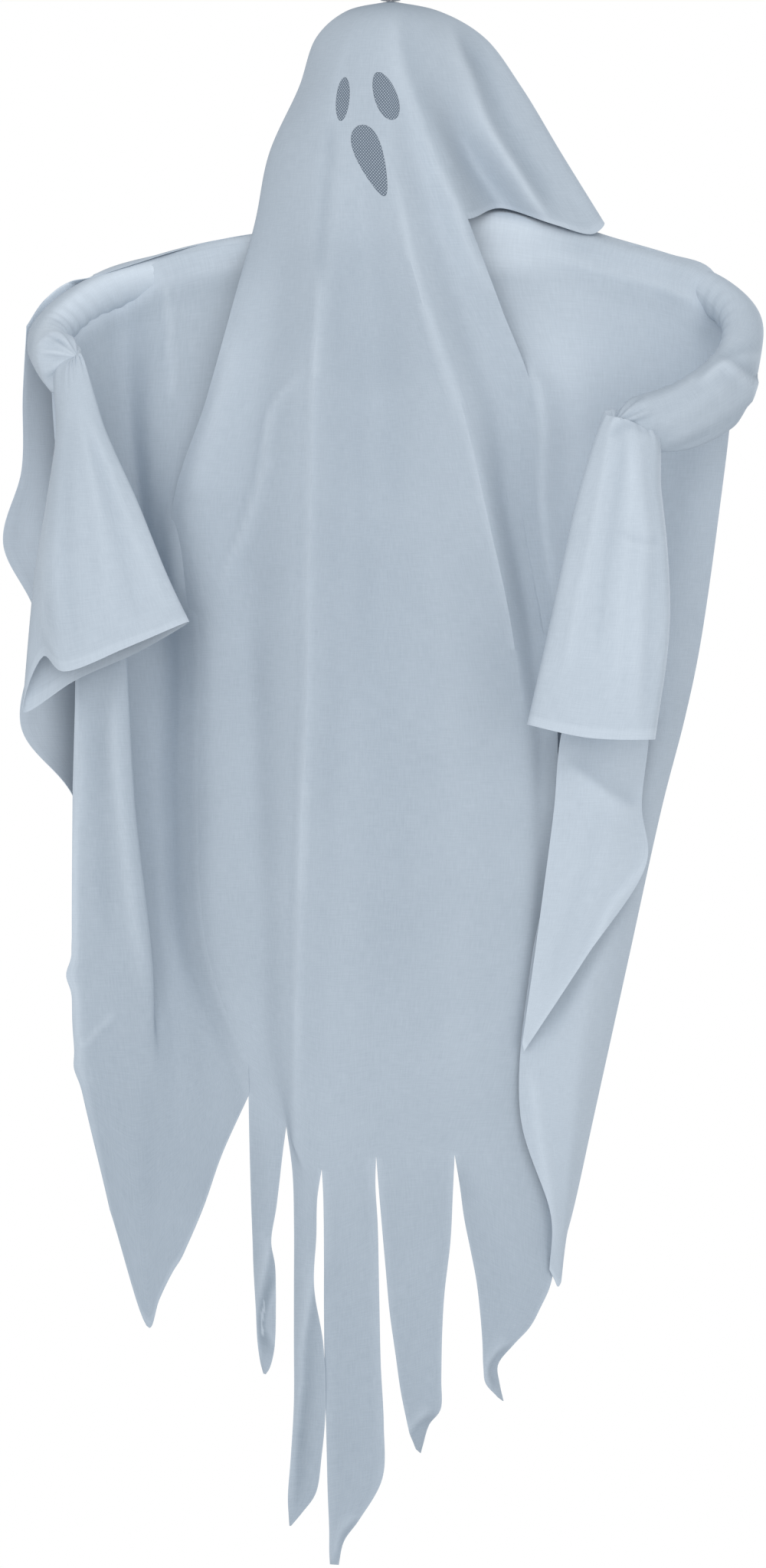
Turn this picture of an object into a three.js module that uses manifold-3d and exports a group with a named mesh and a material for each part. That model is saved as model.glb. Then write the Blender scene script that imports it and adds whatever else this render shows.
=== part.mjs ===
// A hanging ghost decoration: a foam head on a rod, two jointed arms of wire and foam, and a
// robe of thin white cloth with a hood, a veil, sleeves, cuffs and a tattered hem.
// Millimetres, +Z up, the face towards -Y. The origin is where a hook bears in the hanging eye.
import * as THREE from "three";
import { mergeVertices } from "three/addons/utils/BufferGeometryUtils.js";
import Module from "manifold-3d";

const wasm = await Module();
wasm.setup();

// Fits
const GAP = 0.3; // between pieces that touch
const RUNNING_FIT = 0.3; // radial, of a pin or rod in its bore
const CLOTH = 2; // wall of a cloth layer with its seam allowance

// Hanging eye and the washer that holds the crown of the hood
const EYE_BORE = 16;
const EYE_WIRE = 3.5;
const EYE_SHANK = 72;
const WASHER_DIAMETER = 24;
const WASHER_THICKNESS = 1.5;

// Head
const HEAD_DIAMETER = 190;
const HEAD_FLAT = 4; // depth of the flat that rests on the collar
const HOOD_CLEARANCE = 3.4; // from the foam to the cloth

// Neck rod, its collar and the shoulder hub
const ROD_DIAMETER = 12;
const ROD_COVER = 34; // foam left over the end of the rod
const PILOT_COVER = 4; // depth of the pilot hole past the end of the eye
const COLLAR_DIAMETER = 36;
const COLLAR_HEIGHT = 12;
const HUB_WIDTH = 56;
const HUB_DEPTH = 38;
const HUB_HEIGHT = 44;
const HUB_DROP = 98; // from the base of the head to the middle of the hub
const SCREW_DIAMETER = 4;
const SCREW_HEAD_DIAMETER = 7.5;
const SCREW_HEAD_HEIGHT = 3;
const ROD_SCREW_DROP = 13; // of the hub's rod screw, below the arm wires

// Arms
const SHOULDER_REACH = 90; // length of the straight shoulders from the spine
const WIRE_DIAMETER = 5;
const WIRE_SEAT = 18; // length of an arm wire inside the hub
const FOAM_DIAMETER = 42;
const ELBOW_OPENING = 14; // from the elbow pin to the foam on either side
const WRIST_REACH = 10; // bare wire past the forearm's foam
const CAP_DIAMETER = 11;
const CAP_LENGTH = 14;
const PIN_DIAMETER = 5;
const PIN_HEAD_DIAMETER = 9.5;
const PIN_HEAD_HEIGHT = 1.6;
const KNUCKLE_DIAMETER = 12;
const KNUCKLE_HEIGHT = 8;

// Sleeves
const GATHER = 1.2; // height of the gathers
const GATHER_COUNT = 3; // round the upper sleeve
const GATHER_TWIST = 9; // radians that they wind along it
const MOUTH_GATHERS = 6; // round the gathered mouth
const SLEEVE_MOUTH = [1, 0.82, 0.5]; // how the lower sleeve closes past the foam, as shares

// Faceting
const ROUND_SIDES = 16;
const SMALL_SIDES = 12;
const TUBE_SIDES = 12;
const WIRE_SIDES = 8;
const HEAD_SIDES = 24;
const HEAD_RINGS = 14;
const UPPER_STEPS = 11;
const FOREARM_STEPS = 6;

const UP = new THREE.Vector3(0, 0, 1);
const FORWARD = new THREE.Vector3(0, 1, 0);
const SIDEWAYS = new THREE.Vector3(1, 0, 0);
const FULL_TURN = 2 * Math.PI;

// What follows from the sizes above
const HOOD_STANDOFF = HOOD_CLEARANCE + CLOTH / 2; // from the foam to the middle of the cloth
const SHANK_TOP_Z = -EYE_BORE - EYE_WIRE / 2;
const SHANK_END_Z = SHANK_TOP_Z - EYE_SHANK;
const WASHER_TOP_Z = -EYE_BORE - EYE_WIRE - GAP;
const CROWN_Z = WASHER_TOP_Z - WASHER_THICKNESS - GAP - CLOTH / 2;
const HEAD_RADIUS = HEAD_DIAMETER / 2;
const HEAD_Z = CROWN_Z - HOOD_STANDOFF - HEAD_RADIUS;
const ROD_TOP_Z = HEAD_Z + HEAD_RADIUS - ROD_COVER;
const HEAD_BASE_Z = HEAD_Z - HEAD_RADIUS + HEAD_FLAT;
const HUB_CENTRE_Z = HEAD_BASE_Z - HUB_DROP;
const SHANK_BORE = EYE_WIRE + 2 * RUNNING_FIT;
const ROD_BORE = ROD_DIAMETER + 2 * RUNNING_FIT;
const SCREW_BORE = SCREW_DIAMETER + 2 * RUNNING_FIT;
const WIRE_BORE = WIRE_DIAMETER + 2 * RUNNING_FIT;
const KNUCKLE_CLEARANCE = KNUCKLE_DIAMETER + 2 * RUNNING_FIT;
const SLEEVE_RADIUS = FOAM_DIAMETER / 2 + GAP + CLOTH / 2; // middle of the cloth

const COLOURS = {
  cloth: 0xb4c2ce,
  net: 0x8593a0,
  foam: 0xe9e7e0,
  steel: 0x9a9da1,
  wood: 0xc9a878,
  plastic: 0xd8d9da,
};

function material(colour, roughness, metalness = 0) {
  return new THREE.MeshStandardMaterial({ color: colour, roughness, metalness });
}

const MATERIALS = {
  cloth: material(COLOURS.cloth, 0.95),
  net: material(COLOURS.net, 0.9),
  foam: material(COLOURS.foam, 0.9),
  steel: material(COLOURS.steel, 0.35, 1),
  wood: material(COLOURS.wood, 0.7),
  plastic: material(COLOURS.plastic, 0.5),
};

const ghost = new THREE.Group();
ghost.name = "hanging_ghost";

function addNode(name, geometry, look) {
  const mesh = new THREE.Mesh(geometry, MATERIALS[look]);
  mesh.name = name;
  ghost.add(mesh);
}

// Solids for joining and cutting

function solid(geometry) {
  const bare = geometry.clone();
  bare.deleteAttribute("normal");
  bare.deleteAttribute("uv");
  const merged = mergeVertices(bare, 1e-4);
  return new wasm.Manifold(
    new wasm.Mesh({
      numProp: 3,
      vertProperties: merged.attributes.position.array,
      triVerts: new Uint32Array(merged.index.array),
    }),
  );
}

function geometryOf(body) {
  const mesh = body.getMesh();
  const geometry = new THREE.BufferGeometry();
  geometry.setAttribute("position", new THREE.BufferAttribute(mesh.vertProperties, 3));
  geometry.setIndex(new THREE.BufferAttribute(mesh.triVerts, 1));
  geometry.computeVertexNormals();
  return geometry;
}

// Cutting can leave a crumb of cloth on the far side of the cut: the sheet itself is the largest piece.
function largest(body) {
  return body.decompose().reduce((a, b) => (a.volume() > b.volume() ? a : b));
}

function cylinder(diameter, length, centre, axis = UP, sides = ROUND_SIDES) {
  const geometry = new THREE.CylinderGeometry(diameter / 2, diameter / 2, length, sides);
  const turn = new THREE.Quaternion().setFromUnitVectors(FORWARD, axis);
  geometry.applyQuaternion(turn);
  geometry.translate(...centre);
  return solid(geometry);
}

// A geometry from points and faces, turned so that its faces point out.
function closedGeometry(points, faces) {
  const triangles = faces.flatMap(([a, b, c, d]) =>
    d === undefined ? [[a, b, c]] : [[a, b, c], [a, c, d]],
  );
  const volume = triangles.reduce(
    (sum, [a, b, c]) =>
      sum + points[a].dot(new THREE.Vector3().crossVectors(points[b], points[c])),
    0,
  );
  const order = volume < 0 ? triangles.map(([a, b, c]) => [a, c, b]) : triangles;
  const geometry = new THREE.BufferGeometry().setFromPoints(points);
  geometry.setIndex(order.flat());
  geometry.computeVertexNormals();
  return geometry;
}

// Tubes along a path

// Frames at equal steps between two distances along a curve, each with its up kept nearest +Z.
function stations(curve, from, to, count) {
  const total = curve.getLength();
  return Array.from({ length: count + 1 }, (_, i) => {
    const u = THREE.MathUtils.clamp((from + ((to - from) * i) / count) / total, 0, 1);
    const along = curve.getTangentAt(u);
    const side = new THREE.Vector3().crossVectors(along, UP).normalize();
    const up = new THREE.Vector3().crossVectors(side, along);
    return { centre: curve.getPointAt(u), side, up };
  });
}

function ringPoints(frame, sides, radius, row) {
  return Array.from({ length: sides }, (_, k) => {
    const angle = (FULL_TURN * k) / sides;
    const reach = radius(angle, row);
    return frame.centre
      .clone()
      .addScaledVector(frame.side, reach * Math.cos(angle))
      .addScaledVector(frame.up, reach * Math.sin(angle));
  });
}

// A tube through the frames. outer and inner give its radii from the angle round it and the
// share of its length; a tube without inner is solid.
function tube(frames, sides, outer, inner) {
  const last = frames.length - 1;
  const walls = [outer, inner].filter(Boolean).map((radius) =>
    frames.flatMap((frame, i) => ringPoints(frame, sides, radius, i / last)),
  );
  const points = walls.flat();
  const faces = [];
  walls.forEach((wall, w) => {
    const base = w * walls[0].length;
    for (let i = 0; i < last; i++)
      for (let k = 0; k < sides; k++) {
        const a = base + i * sides + k;
        const b = base + i * sides + ((k + 1) % sides);
        const [c, d] = [b + sides, a + sides];
        faces.push(w ? [a, d, c, b] : [a, b, c, d]);
      }
  });
  [0, last].forEach((row, end) => {
    const start = row * sides;
    const centre = points.length;
    if (!inner) points.push(frames[row].centre.clone());
    for (let k = 0; k < sides; k++) {
      const a = start + k;
      const b = start + ((k + 1) % sides);
      const shift = walls[0].length;
      const face = inner ? [b, a, a + shift, b + shift] : [b, a, centre];
      faces.push(end ? face.reverse() : face);
    }
  });
  return closedGeometry(points, faces);
}

// Cloth

// A sheet's middle surface: points, and quads between rows of them.
class Sheet {
  points = [];
  faces = [];

  row(places) {
    return places.map((place) => this.points.push(place) - 1);
  }

  weave(upper, lower, closed = false) {
    const count = closed ? upper.length : upper.length - 1;
    for (let k = 0; k < count; k++) {
      const next = (k + 1) % upper.length;
      this.faces.push([upper[k], upper[next], lower[next], lower[k]]);
    }
  }

  // The closed solid of this sheet, half its thickness on either side.
  thicken(thickness) {
    const normals = this.points.map(() => new THREE.Vector3());
    const sides = new Map();
    for (const face of this.faces) {
      const [a, b, c, d] = face.map((i) => this.points[i]);
      const across = new THREE.Vector3().subVectors(c, a);
      const normal = across.cross(new THREE.Vector3().subVectors(d, b));
      face.forEach((i, k) => {
        normals[i].add(normal);
        sides.set(i + ">" + face[(k + 1) % 4], [i, face[(k + 1) % 4]]);
      });
    }
    const count = this.points.length;
    const front = this.points.map((p, i) =>
      p.clone().addScaledVector(normals[i].clone().normalize(), thickness / 2),
    );
    const back = this.points.map((p, i) =>
      p.clone().addScaledVector(normals[i].clone().normalize(), -thickness / 2),
    );
    const rims = [...sides.values()]
      .filter(([a, b]) => !sides.has(b + ">" + a))
      .map(([a, b]) => [b, a, a + count, b + count]);
    const reverse = this.faces.map(([a, b, c, d]) => [a, d, c, b].map((i) => i + count));
    return closedGeometry([...front, ...back], [...this.faces, ...reverse, ...rims]);
  }
}

// A point whose height is given from the middle of the shoulder hub.
function fromHub([x, y, z]) {
  return new THREE.Vector3(x, y, HUB_CENTRE_Z + z);
}

// The point of a fold line at share t of its length, counted in its own points.
function onLine(line, t) {
  return new THREE.CatmullRomCurve3(line, false, "centripetal").getPoint(t);
}

// Points along a row that passes through one point of each fold line, `steps` to each interval.
function acrossLines(places, steps, closed = false) {
  const curve = new THREE.CatmullRomCurve3(places, closed, "centripetal");
  const intervals = closed ? places.length : places.length - 1;
  const count = intervals * steps + (closed ? 0 : 1);
  return Array.from({ length: count }, (_, i) => curve.getPoint(i / (intervals * steps)));
}

// A sheet that passes smoothly through its fold lines, which all have the same number of points.
function skin(lines, rows, steps, closed = false) {
  const sheet = new Sheet();
  let upper = null;
  for (let i = 0; i <= rows; i++) {
    const places = lines.map((line) => onLine(line, i / rows));
    const lower = sheet.row(acrossLines(places, steps, closed));
    if (upper) sheet.weave(upper, lower, closed);
    upper = lower;
  }
  return sheet;
}

// The run of a fold line: [x, y] at each of the levels, and its end. Heights are from the hub.
function foldLine(levels, places, end) {
  return [...places.map(([x, y], i) => [x, y, levels[i]]), end].map(fromHub);
}

function foldLines({ levels, lines }) {
  return lines.map(({ top, places, end }) => [fromHub(top), ...foldLine(levels, places, end)]);
}

// Head, rod and hub

function buildHead() {
  const ball = new THREE.SphereGeometry(HEAD_RADIUS, HEAD_SIDES, HEAD_RINGS);
  ball.rotateX(Math.PI / 2);
  ball.translate(0, 0, HEAD_Z);
  const head = solid(ball)
    .subtract(cylinder(SHANK_BORE, HEAD_DIAMETER, [0, 0, HEAD_Z + HEAD_RADIUS / 2]))
    .subtract(cylinder(ROD_BORE, HEAD_DIAMETER, [0, 0, ROD_TOP_Z + GAP - HEAD_RADIUS]))
    .subtract(cylinder(HEAD_DIAMETER, HEAD_RADIUS, [0, 0, HEAD_BASE_Z - HEAD_RADIUS / 2]));
  addNode("head_ball", geometryOf(head), "foam");
}

function buildHangingEye() {
  const ringRadius = (EYE_BORE + EYE_WIRE) / 2;
  const ring = new THREE.TorusGeometry(ringRadius, EYE_WIRE / 2, WIRE_SIDES, HEAD_SIDES);
  ring.rotateX(Math.PI / 2);
  ring.translate(0, 0, -EYE_BORE / 2);
  const shankMiddle = [0, 0, SHANK_TOP_Z - EYE_SHANK / 2];
  const shank = cylinder(EYE_WIRE, EYE_SHANK, shankMiddle, UP, SMALL_SIDES);
  addNode("hang_eye", geometryOf(solid(ring).add(shank)), "steel");

  const middle = [0, 0, WASHER_TOP_Z - WASHER_THICKNESS / 2];
  const washer = cylinder(WASHER_DIAMETER, WASHER_THICKNESS, middle).subtract(
    cylinder(SHANK_BORE, 2 * WASHER_THICKNESS, middle),
  );
  addNode("crown_washer", geometryOf(washer), "plastic");
}

function buildRodAndHub() {
  const rodLength = ROD_TOP_Z - HUB_CENTRE_Z + HUB_HEIGHT / 2;
  const pilotDepth = ROD_TOP_Z - SHANK_END_Z + PILOT_COVER;
  const rod = cylinder(ROD_DIAMETER, rodLength, [0, 0, ROD_TOP_Z - rodLength / 2]).subtract(
    cylinder(SHANK_BORE, 2 * pilotDepth, [0, 0, ROD_TOP_Z], UP, SMALL_SIDES),
  );
  addNode("neck_rod", geometryOf(rod), "wood");

  // Collar under the head, clamped to the rod from behind
  const collarZ = HEAD_BASE_Z - GAP - COLLAR_HEIGHT / 2;
  const collarBack = [0, COLLAR_DIAMETER / 2, collarZ];
  const collar = cylinder(COLLAR_DIAMETER, COLLAR_HEIGHT, [0, 0, collarZ])
    .subtract(cylinder(ROD_BORE, 2 * COLLAR_HEIGHT, [0, 0, collarZ]))
    .subtract(cylinder(SCREW_BORE, COLLAR_DIAMETER, collarBack, FORWARD, SMALL_SIDES));
  addNode("head_collar", geometryOf(collar), "plastic");
  addScrew("collar_screw", collarBack, ROD_DIAMETER / 2);

  // Hub, with a screw for the rod and one for each arm's wire
  const block = new THREE.BoxGeometry(HUB_WIDTH, HUB_DEPTH, HUB_HEIGHT);
  block.translate(0, 0, HUB_CENTRE_Z);
  const screwX = HUB_WIDTH / 2 - WIRE_SEAT / 2;
  const backY = HUB_DEPTH / 2;
  const rodScrew = [0, backY, HUB_CENTRE_Z - ROD_SCREW_DROP];
  let hub = solid(block)
    .subtract(cylinder(ROD_BORE, 2 * HUB_HEIGHT, [0, 0, HUB_CENTRE_Z]))
    .subtract(cylinder(SCREW_BORE, HUB_DEPTH, rodScrew, FORWARD, SMALL_SIDES));
  addScrew("rod_screw", rodScrew, ROD_DIAMETER / 2);
  for (const [name, { side }] of Object.entries(ARMS)) {
    const mouth = [(side * HUB_WIDTH) / 2, 0, HUB_CENTRE_Z];
    const screw = [side * screwX, backY, HUB_CENTRE_Z];
    hub = hub
      .subtract(cylinder(WIRE_BORE, 2 * (WIRE_SEAT + GAP), mouth, SIDEWAYS))
      .subtract(cylinder(SCREW_BORE, HUB_DEPTH, screw, FORWARD, SMALL_SIDES));
    addScrew(name + "_hub_screw", screw, WIRE_DIAMETER / 2);
  }
  addNode("shoulder_hub", geometryOf(hub), "plastic");
}

// A clamping screw from behind: its head on the back face at the given place, its point against
// the rod or wire of the given radius on the middle plane.
function addScrew(name, [x, y, z], clampedRadius) {
  const headMiddle = y + GAP + SCREW_HEAD_HEIGHT / 2;
  const point = clampedRadius + GAP;
  const length = headMiddle - point;
  const head = cylinder(SCREW_HEAD_DIAMETER, SCREW_HEAD_HEIGHT, [x, headMiddle, z], FORWARD);
  const middle = [x, point + length / 2, z];
  const shank = cylinder(SCREW_DIAMETER, length, middle, FORWARD, SMALL_SIDES);
  addNode(name, geometryOf(head.add(shank)), "steel");
}

// Arms. Each path runs from the shoulder to the wrist, with its heights from the hub, and the
// elbow pin stands upright on its point `elbow`.

const ARMS = {
  left: {
    side: -1,
    path: [
      [-184, 4, -11],
      [-268, 0, -31],
      [-327, -10, -49],
      [-371, -36, -76],
      [-394, -76, -103],
      [-395, -130, -123],
      [-381, -188, -131],
    ],
    elbow: 4,
    drape: 0.1, // how far the lower sleeve hangs below the forearm, in radii
  },
  right: {
    side: 1,
    path: [
      [175, 5, -7],
      [264, 0, -20],
      [327, -10, -35],
      [380, -30, -59],
      [407, -68, -91],
      [398, -115, -134],
      [346, -165, -181],
      [282, -205, -207],
    ],
    elbow: 4,
    drape: 1.9,
  },
};

// The arm leaves the hub straight, then follows its path.
function armCurve(arm) {
  const reaches = [HUB_WIDTH / 2 - WIRE_SEAT, HUB_WIDTH / 2, SHOULDER_REACH];
  const points = [...reaches.map((x) => [arm.side * x, 0, 0]), ...arm.path].map(fromHub);
  return new THREE.CatmullRomCurve3(points, false, "centripetal");
}

function elbowPoint(arm, curve) {
  return curve.points[curve.points.length - arm.path.length + arm.elbow];
}

// Distance along the arm to its elbow pin.
function elbowDistance(arm, curve) {
  const divisions = 400; // of the measured curve, fine enough for a hundredth of a millimetre
  const share = curve.points.indexOf(elbowPoint(arm, curve)) / (curve.points.length - 1);
  const before = Math.floor(share * divisions);
  const lengths = curve.getLengths(divisions);
  const rest = share * divisions - before;
  return lengths[before] + rest * (lengths[before + 1] - lengths[before]);
}

const round = (radius) => () => radius;

// Cloth radius round the upper arm: smooth, with shallow gathers that wind along it.
function sleeveRadius(angle, along) {
  return SLEEVE_RADIUS + (GATHER * (1 + Math.cos(GATHER_COUNT * angle + GATHER_TWIST * along))) / 2;
}

// A wire through its frames with a knuckle round the pin, above the elbow where level is 1 and
// below it where level is -1, cut clear of the other wire's knuckle.
function knuckledWire(frames, elbow, level) {
  const at = (z) => [elbow.x, elbow.y, elbow.z + level * z];
  const reach = 2 * KNUCKLE_HEIGHT;
  const near = (GAP - reach) / 2;
  const far = (GAP + reach) / 2 + KNUCKLE_HEIGHT;
  return solid(tube(frames, WIRE_SIDES, round(WIRE_DIAMETER / 2)))
    .subtract(cylinder(KNUCKLE_CLEARANCE, reach, at(near)))
    .subtract(cylinder(KNUCKLE_CLEARANCE, reach, at(far)))
    .add(cylinder(KNUCKLE_DIAMETER, KNUCKLE_HEIGHT, at((KNUCKLE_HEIGHT + GAP) / 2)))
    .subtract(cylinder(PIN_DIAMETER + 2 * RUNNING_FIT, 2 * reach, elbow.toArray()));
}

function buildArm(name, arm) {
  const curve = armCurve(arm);
  const total = curve.getLength();
  const elbow = elbowPoint(arm, curve);
  const elbowAt = elbowDistance(arm, curve);
  const foamStart = WIRE_SEAT + GAP;
  const foamEnd = total - WRIST_REACH;
  const upper = stations(curve, foamStart, elbowAt - ELBOW_OPENING, UPPER_STEPS);
  const lower = stations(curve, elbowAt + ELBOW_OPENING, foamEnd, FOREARM_STEPS);

  // Foam on the wire
  const bore = round(WIRE_BORE / 2 + RUNNING_FIT);
  const foam = (frames) => tube(frames, TUBE_SIDES, round(FOAM_DIAMETER / 2), bore);
  addNode(name + "_upper_foam", foam(upper), "foam");
  addNode(name + "_forearm_foam", foam(lower), "foam");

  // Wires
  const seat = stations(curve, GAP, foamStart, 2);
  const toPin = stations(curve, elbowAt - ELBOW_OPENING, elbowAt, 2);
  const fromPin = stations(curve, elbowAt, elbowAt + ELBOW_OPENING, 2);
  const toTip = stations(curve, foamEnd, total, 1);
  const upperRun = [...seat.slice(0, -1), ...upper, ...toPin.slice(1)];
  const lowerRun = [...fromPin.slice(0, -1), ...lower, ...toTip.slice(1)];
  addNode(name + "_upper_wire", geometryOf(largest(knuckledWire(upperRun, elbow, 1))), "steel");
  addNode(name + "_forearm_wire", geometryOf(largest(knuckledWire(lowerRun, elbow, -1))), "steel");

  // Elbow pin with a head at each end
  const stack = 2 * KNUCKLE_HEIGHT + 3 * GAP;
  const headLift = (stack + PIN_HEAD_HEIGHT) / 2;
  const pinHead = (z) => cylinder(PIN_HEAD_DIAMETER, PIN_HEAD_HEIGHT, [elbow.x, elbow.y, elbow.z + z]);
  const pin = cylinder(PIN_DIAMETER, stack + PIN_HEAD_HEIGHT, elbow.toArray())
    .add(pinHead(headLift))
    .add(pinHead(-headLift));
  addNode(name + "_elbow_pin", geometryOf(pin), "steel");

  // Blunt cap over the wire's tip, so that it can't pierce the cloth
  const tipAxis = curve.getTangentAt(1);
  const capReach = CAP_LENGTH / 2 - WRIST_REACH + 2 * GAP;
  const capMiddle = curve.getPointAt(1).addScaledVector(tipAxis, capReach);
  const capBore = tube(
    stations(curve, foamEnd - WRIST_REACH, total, 3),
    TUBE_SIDES,
    round(WIRE_BORE / 2),
  );
  const cap = cylinder(CAP_DIAMETER, CAP_LENGTH, capMiddle.toArray(), tipAxis);
  addNode(name + "_wire_cap", geometryOf(largest(cap.subtract(solid(capBore)))), "plastic");

  return { curve, upper, lower, total, tipAxis };
}

// Sleeves

// Cloth radius round the lower sleeve, which hangs below the forearm by the arm's drape, most
// in the middle of its length.
function lowerSleeve(arm) {
  const [hangStart, hangRate] = [0.12, 1.05];
  return (angle, along) => {
    const below = Math.max(0, -Math.sin(angle)) ** 3;
    const swell = Math.max(0, Math.sin(Math.PI * Math.min(1, hangStart + hangRate * along)));
    const gathers = (GATHER * (1 + Math.cos(4 * angle))) / 2;
    return SLEEVE_RADIUS * (1 + arm.drape * below * swell) + gathers;
  };
}

function buildSleeves(name, arm, { curve, upper, lower, total, tipAxis }) {
  const wall = CLOTH / 2;
  const shell = (frames, radius) =>
    tube(frames, TUBE_SIDES, (a, t) => radius(a, t) + wall, (a, t) => radius(a, t) - wall);
  addNode(name + "_sleeve_upper", shell(upper, sleeveRadius), "cloth");

  // The lower sleeve runs on past the foam and is gathered to a small mouth.
  const [start, end] = stations(curve, total - WRIST_REACH, total, 1);
  const mouth = SLEEVE_MOUTH.map((_, i) => {
    const reach = WRIST_REACH / 2 + (i * CAP_LENGTH) / SLEEVE_MOUTH.length;
    return { ...end, centre: start.centre.clone().addScaledVector(tipAxis, reach) };
  });
  const frames = [...lower, ...mouth];
  const hanging = lowerSleeve(arm);
  const radius = (angle, along) => {
    const row = Math.round(along * (frames.length - 1));
    const share = Math.min(1, row / (lower.length - 1));
    const closing = SLEEVE_MOUTH[row - lower.length];
    const gathers = closing ? GATHER * Math.cos(MOUTH_GATHERS * angle) : 0;
    return (closing ?? 1) * hanging(angle, share) + gathers;
  };
  addNode(name + "_sleeve_lower", shell(frames, radius), "cloth");

  // What the rest of the cloth keeps clear of
  const envelope = (run, reach) => solid(tube(run, TUBE_SIDES, (a, t) => reach(a, t) + wall + GAP));
  return { upper: envelope(upper, sleeveRadius), lower: envelope(frames, radius) };
}

// Hood, veil and strips: one sheet from the crown to the tattered hem.

const HOOD_DROPS = [12, 42, 100, 178, 260]; // below the crown
// Fold lines in turn round the head, each with [bearing, distance from the head's own outline]
// at the drops above. Bearings are in degrees from +X, through +Y behind the head.
const HOOD_LINES = {
  leftEdge: [[182, 5], [182, 5], [182, 7], [182, 42], [187, 60]],
  leftCheek: [[215, 0], [210, 0], [211, 4], [207, 27], [208, 41]],
  leftRidge: [[235, 0], [232, 0], [229, 3], [229, 16], [232, 26]],
  leftOfMouth: [[248, 0], [240, 0], [238, 0], [239, 8], [242, 12]],
  middle: [[258, 0], [250, 0], [248, 0], [248, 3], [252, 0]],
  rightRidge: [[268, 0], [267, 0], [269, 2], [269, 4], [278, 11]],
  rightDip: [[276, 0], [277, 0], [280, 0], [290, -8], [302, 3]],
  veilEdge: [[283, 0], [284, 0], [285, 4], [304, 6], [314, 29]],
  wingTrough: [[300, 0], [305, 0], [312, 0], [340, -2], [350, 33]],
  wingCrease: [[324, 0], [333, 4], [340, 14], [343, 42], [348, 95]],
  wingEdge: [[0, 10], [0, 28], [359, 53], [359, 100], [359, 150]],
  backRight: [[60, 0], [52, 2], [45, 16], [39, 48], [35, 73]],
  backMiddle: [[102, 0], [100, 2], [99, 2], [100, 2], [101, 12]],
  backLeft: [[140, 0], [137, 2], [136, 4], [140, 28], [144, 46]],
};
// Heights from the hub
const VEIL_LEVELS = [-74, -179, -309, -469, -649, -829];
// The veil's own lines run on from the hood's first eight, and end at the tops of the slits.
const VEIL_LINES = {
  leftEdge: {
    places: [[-185, -58], [-213, -68], [-252, -66], [-222, -56], [-228, -58], [-216, -66]],
    end: [-165, -78, -983],
  },
  leftCheek: {
    places: [[-137, -72], [-155, -78], [-176, -80], [-163, -80], [-167, -82], [-164, -84]],
    end: [-121, -86, -1021],
  },
  leftRidge: {
    places: [[-80, -112], [-89, -116], [-92, -118], [-96, -116], [-100, -112], [-107, -106]],
    end: [-110, -98, -1047],
  },
  leftOfMouth: {
    places: [[-50, -98], [-50, -99], [-50, -98], [-52, -96], [-56, -94], [-64, -92]],
    end: [-80, -94, -1071],
  },
  middle: {
    places: [[-22, -92], [-14, -90], [-8, -88], [-2, -86], [0, -88], [-6, -88]],
    end: [-17, -88, -1056],
  },
  rightRidge: {
    places: [[44, -116], [79, -118], [110, -118], [143, -112], [156, -102], [142, -96]],
    end: [74, -92, -1055],
  },
  rightDip: {
    places: [[86, -90], [122, -88], [138, -88], [166, -86], [176, -82], [172, -78]],
    end: [142, -80, -1053],
  },
  veilEdge: {
    places: [[128, -92], [166, -90], [169, -86], [190, -78], [194, -72], [196, -66]],
    end: [206, -58, -1049],
  },
};
const HOOD_ROWS = 8;
const VEIL_ROWS = 12;
// Strips between the slits, as [left x, right x, y, height from the hub] down each strip. `from`
// and `to` are the veil lines that a strip hangs between.
const STRIPS = [
  {
    from: 0,
    to: 1,
    rows: [
      [-163, -131, -78, -1079],
      [-161, -139, -76, -1159],
      [-156, -132, -74, -1214],
      [-154, -132, -70, -1271],
      [-149, -145, -66, -1310],
    ],
  },
  {
    from: 1,
    to: 3,
    rows: [
      [-113, -85, -94, -1119],
      [-112, -83, -92, -1203],
      [-114, -76, -88, -1289],
      [-115, -76, -80, -1373],
      [-120, -88, -74, -1452],
      [-119, -114, -72, -1489],
    ],
  },
  {
    from: 3,
    to: 4,
    rows: [
      [-79, -15, -91, -1164],
      [-77, -13, -88, -1270],
      [-75, -7, -83, -1404],
      [-72, -30, -79, -1485],
      [-70, -60, -75, -1532],
    ],
  },
  {
    from: 4,
    to: 5,
    rows: [
      [-7, 69, -88, -1173],
      [0, 62, -84, -1261],
      [11, 58, -80, -1339],
      [21, 46, -77, -1384],
      [31, 35, -78, -1403],
    ],
  },
  {
    from: 5,
    to: 7,
    rows: [
      [87, 188, -76, -1131],
      [99, 180, -74, -1201],
      [106, 166, -72, -1264],
      [109, 128, -74, -1309],
      [120, 132, -74, -1335],
    ],
  },
];
const STEPS = 2; // columns between fold lines
const STRIP_BOW = 1 / 12; // how far a strip's middle curves forward, as a share of its width

// Distance of a sphere's surface from its axis, at a depth below its top.
function sphereReach(radius, depth) {
  return depth < radius ? Math.sqrt(depth * (2 * radius - depth)) : radius;
}

function hoodLine(name) {
  const reach = HEAD_RADIUS + HOOD_STANDOFF;
  const [firstBearing] = HOOD_LINES[name][0];
  const holeReach = EYE_WIRE / 2 + RUNNING_FIT + GAP;
  const places = [[firstBearing, holeReach, 0]].concat(
    HOOD_LINES[name].map(([bearing, out], i) => [
      bearing,
      sphereReach(reach, HOOD_DROPS[i]) + out,
      HOOD_DROPS[i],
    ]),
  );
  return places.map(([bearing, away, drop]) => {
    const angle = THREE.MathUtils.degToRad(bearing);
    return new THREE.Vector3(away * Math.cos(angle), away * Math.sin(angle), CROWN_Z - drop);
  });
}

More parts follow.
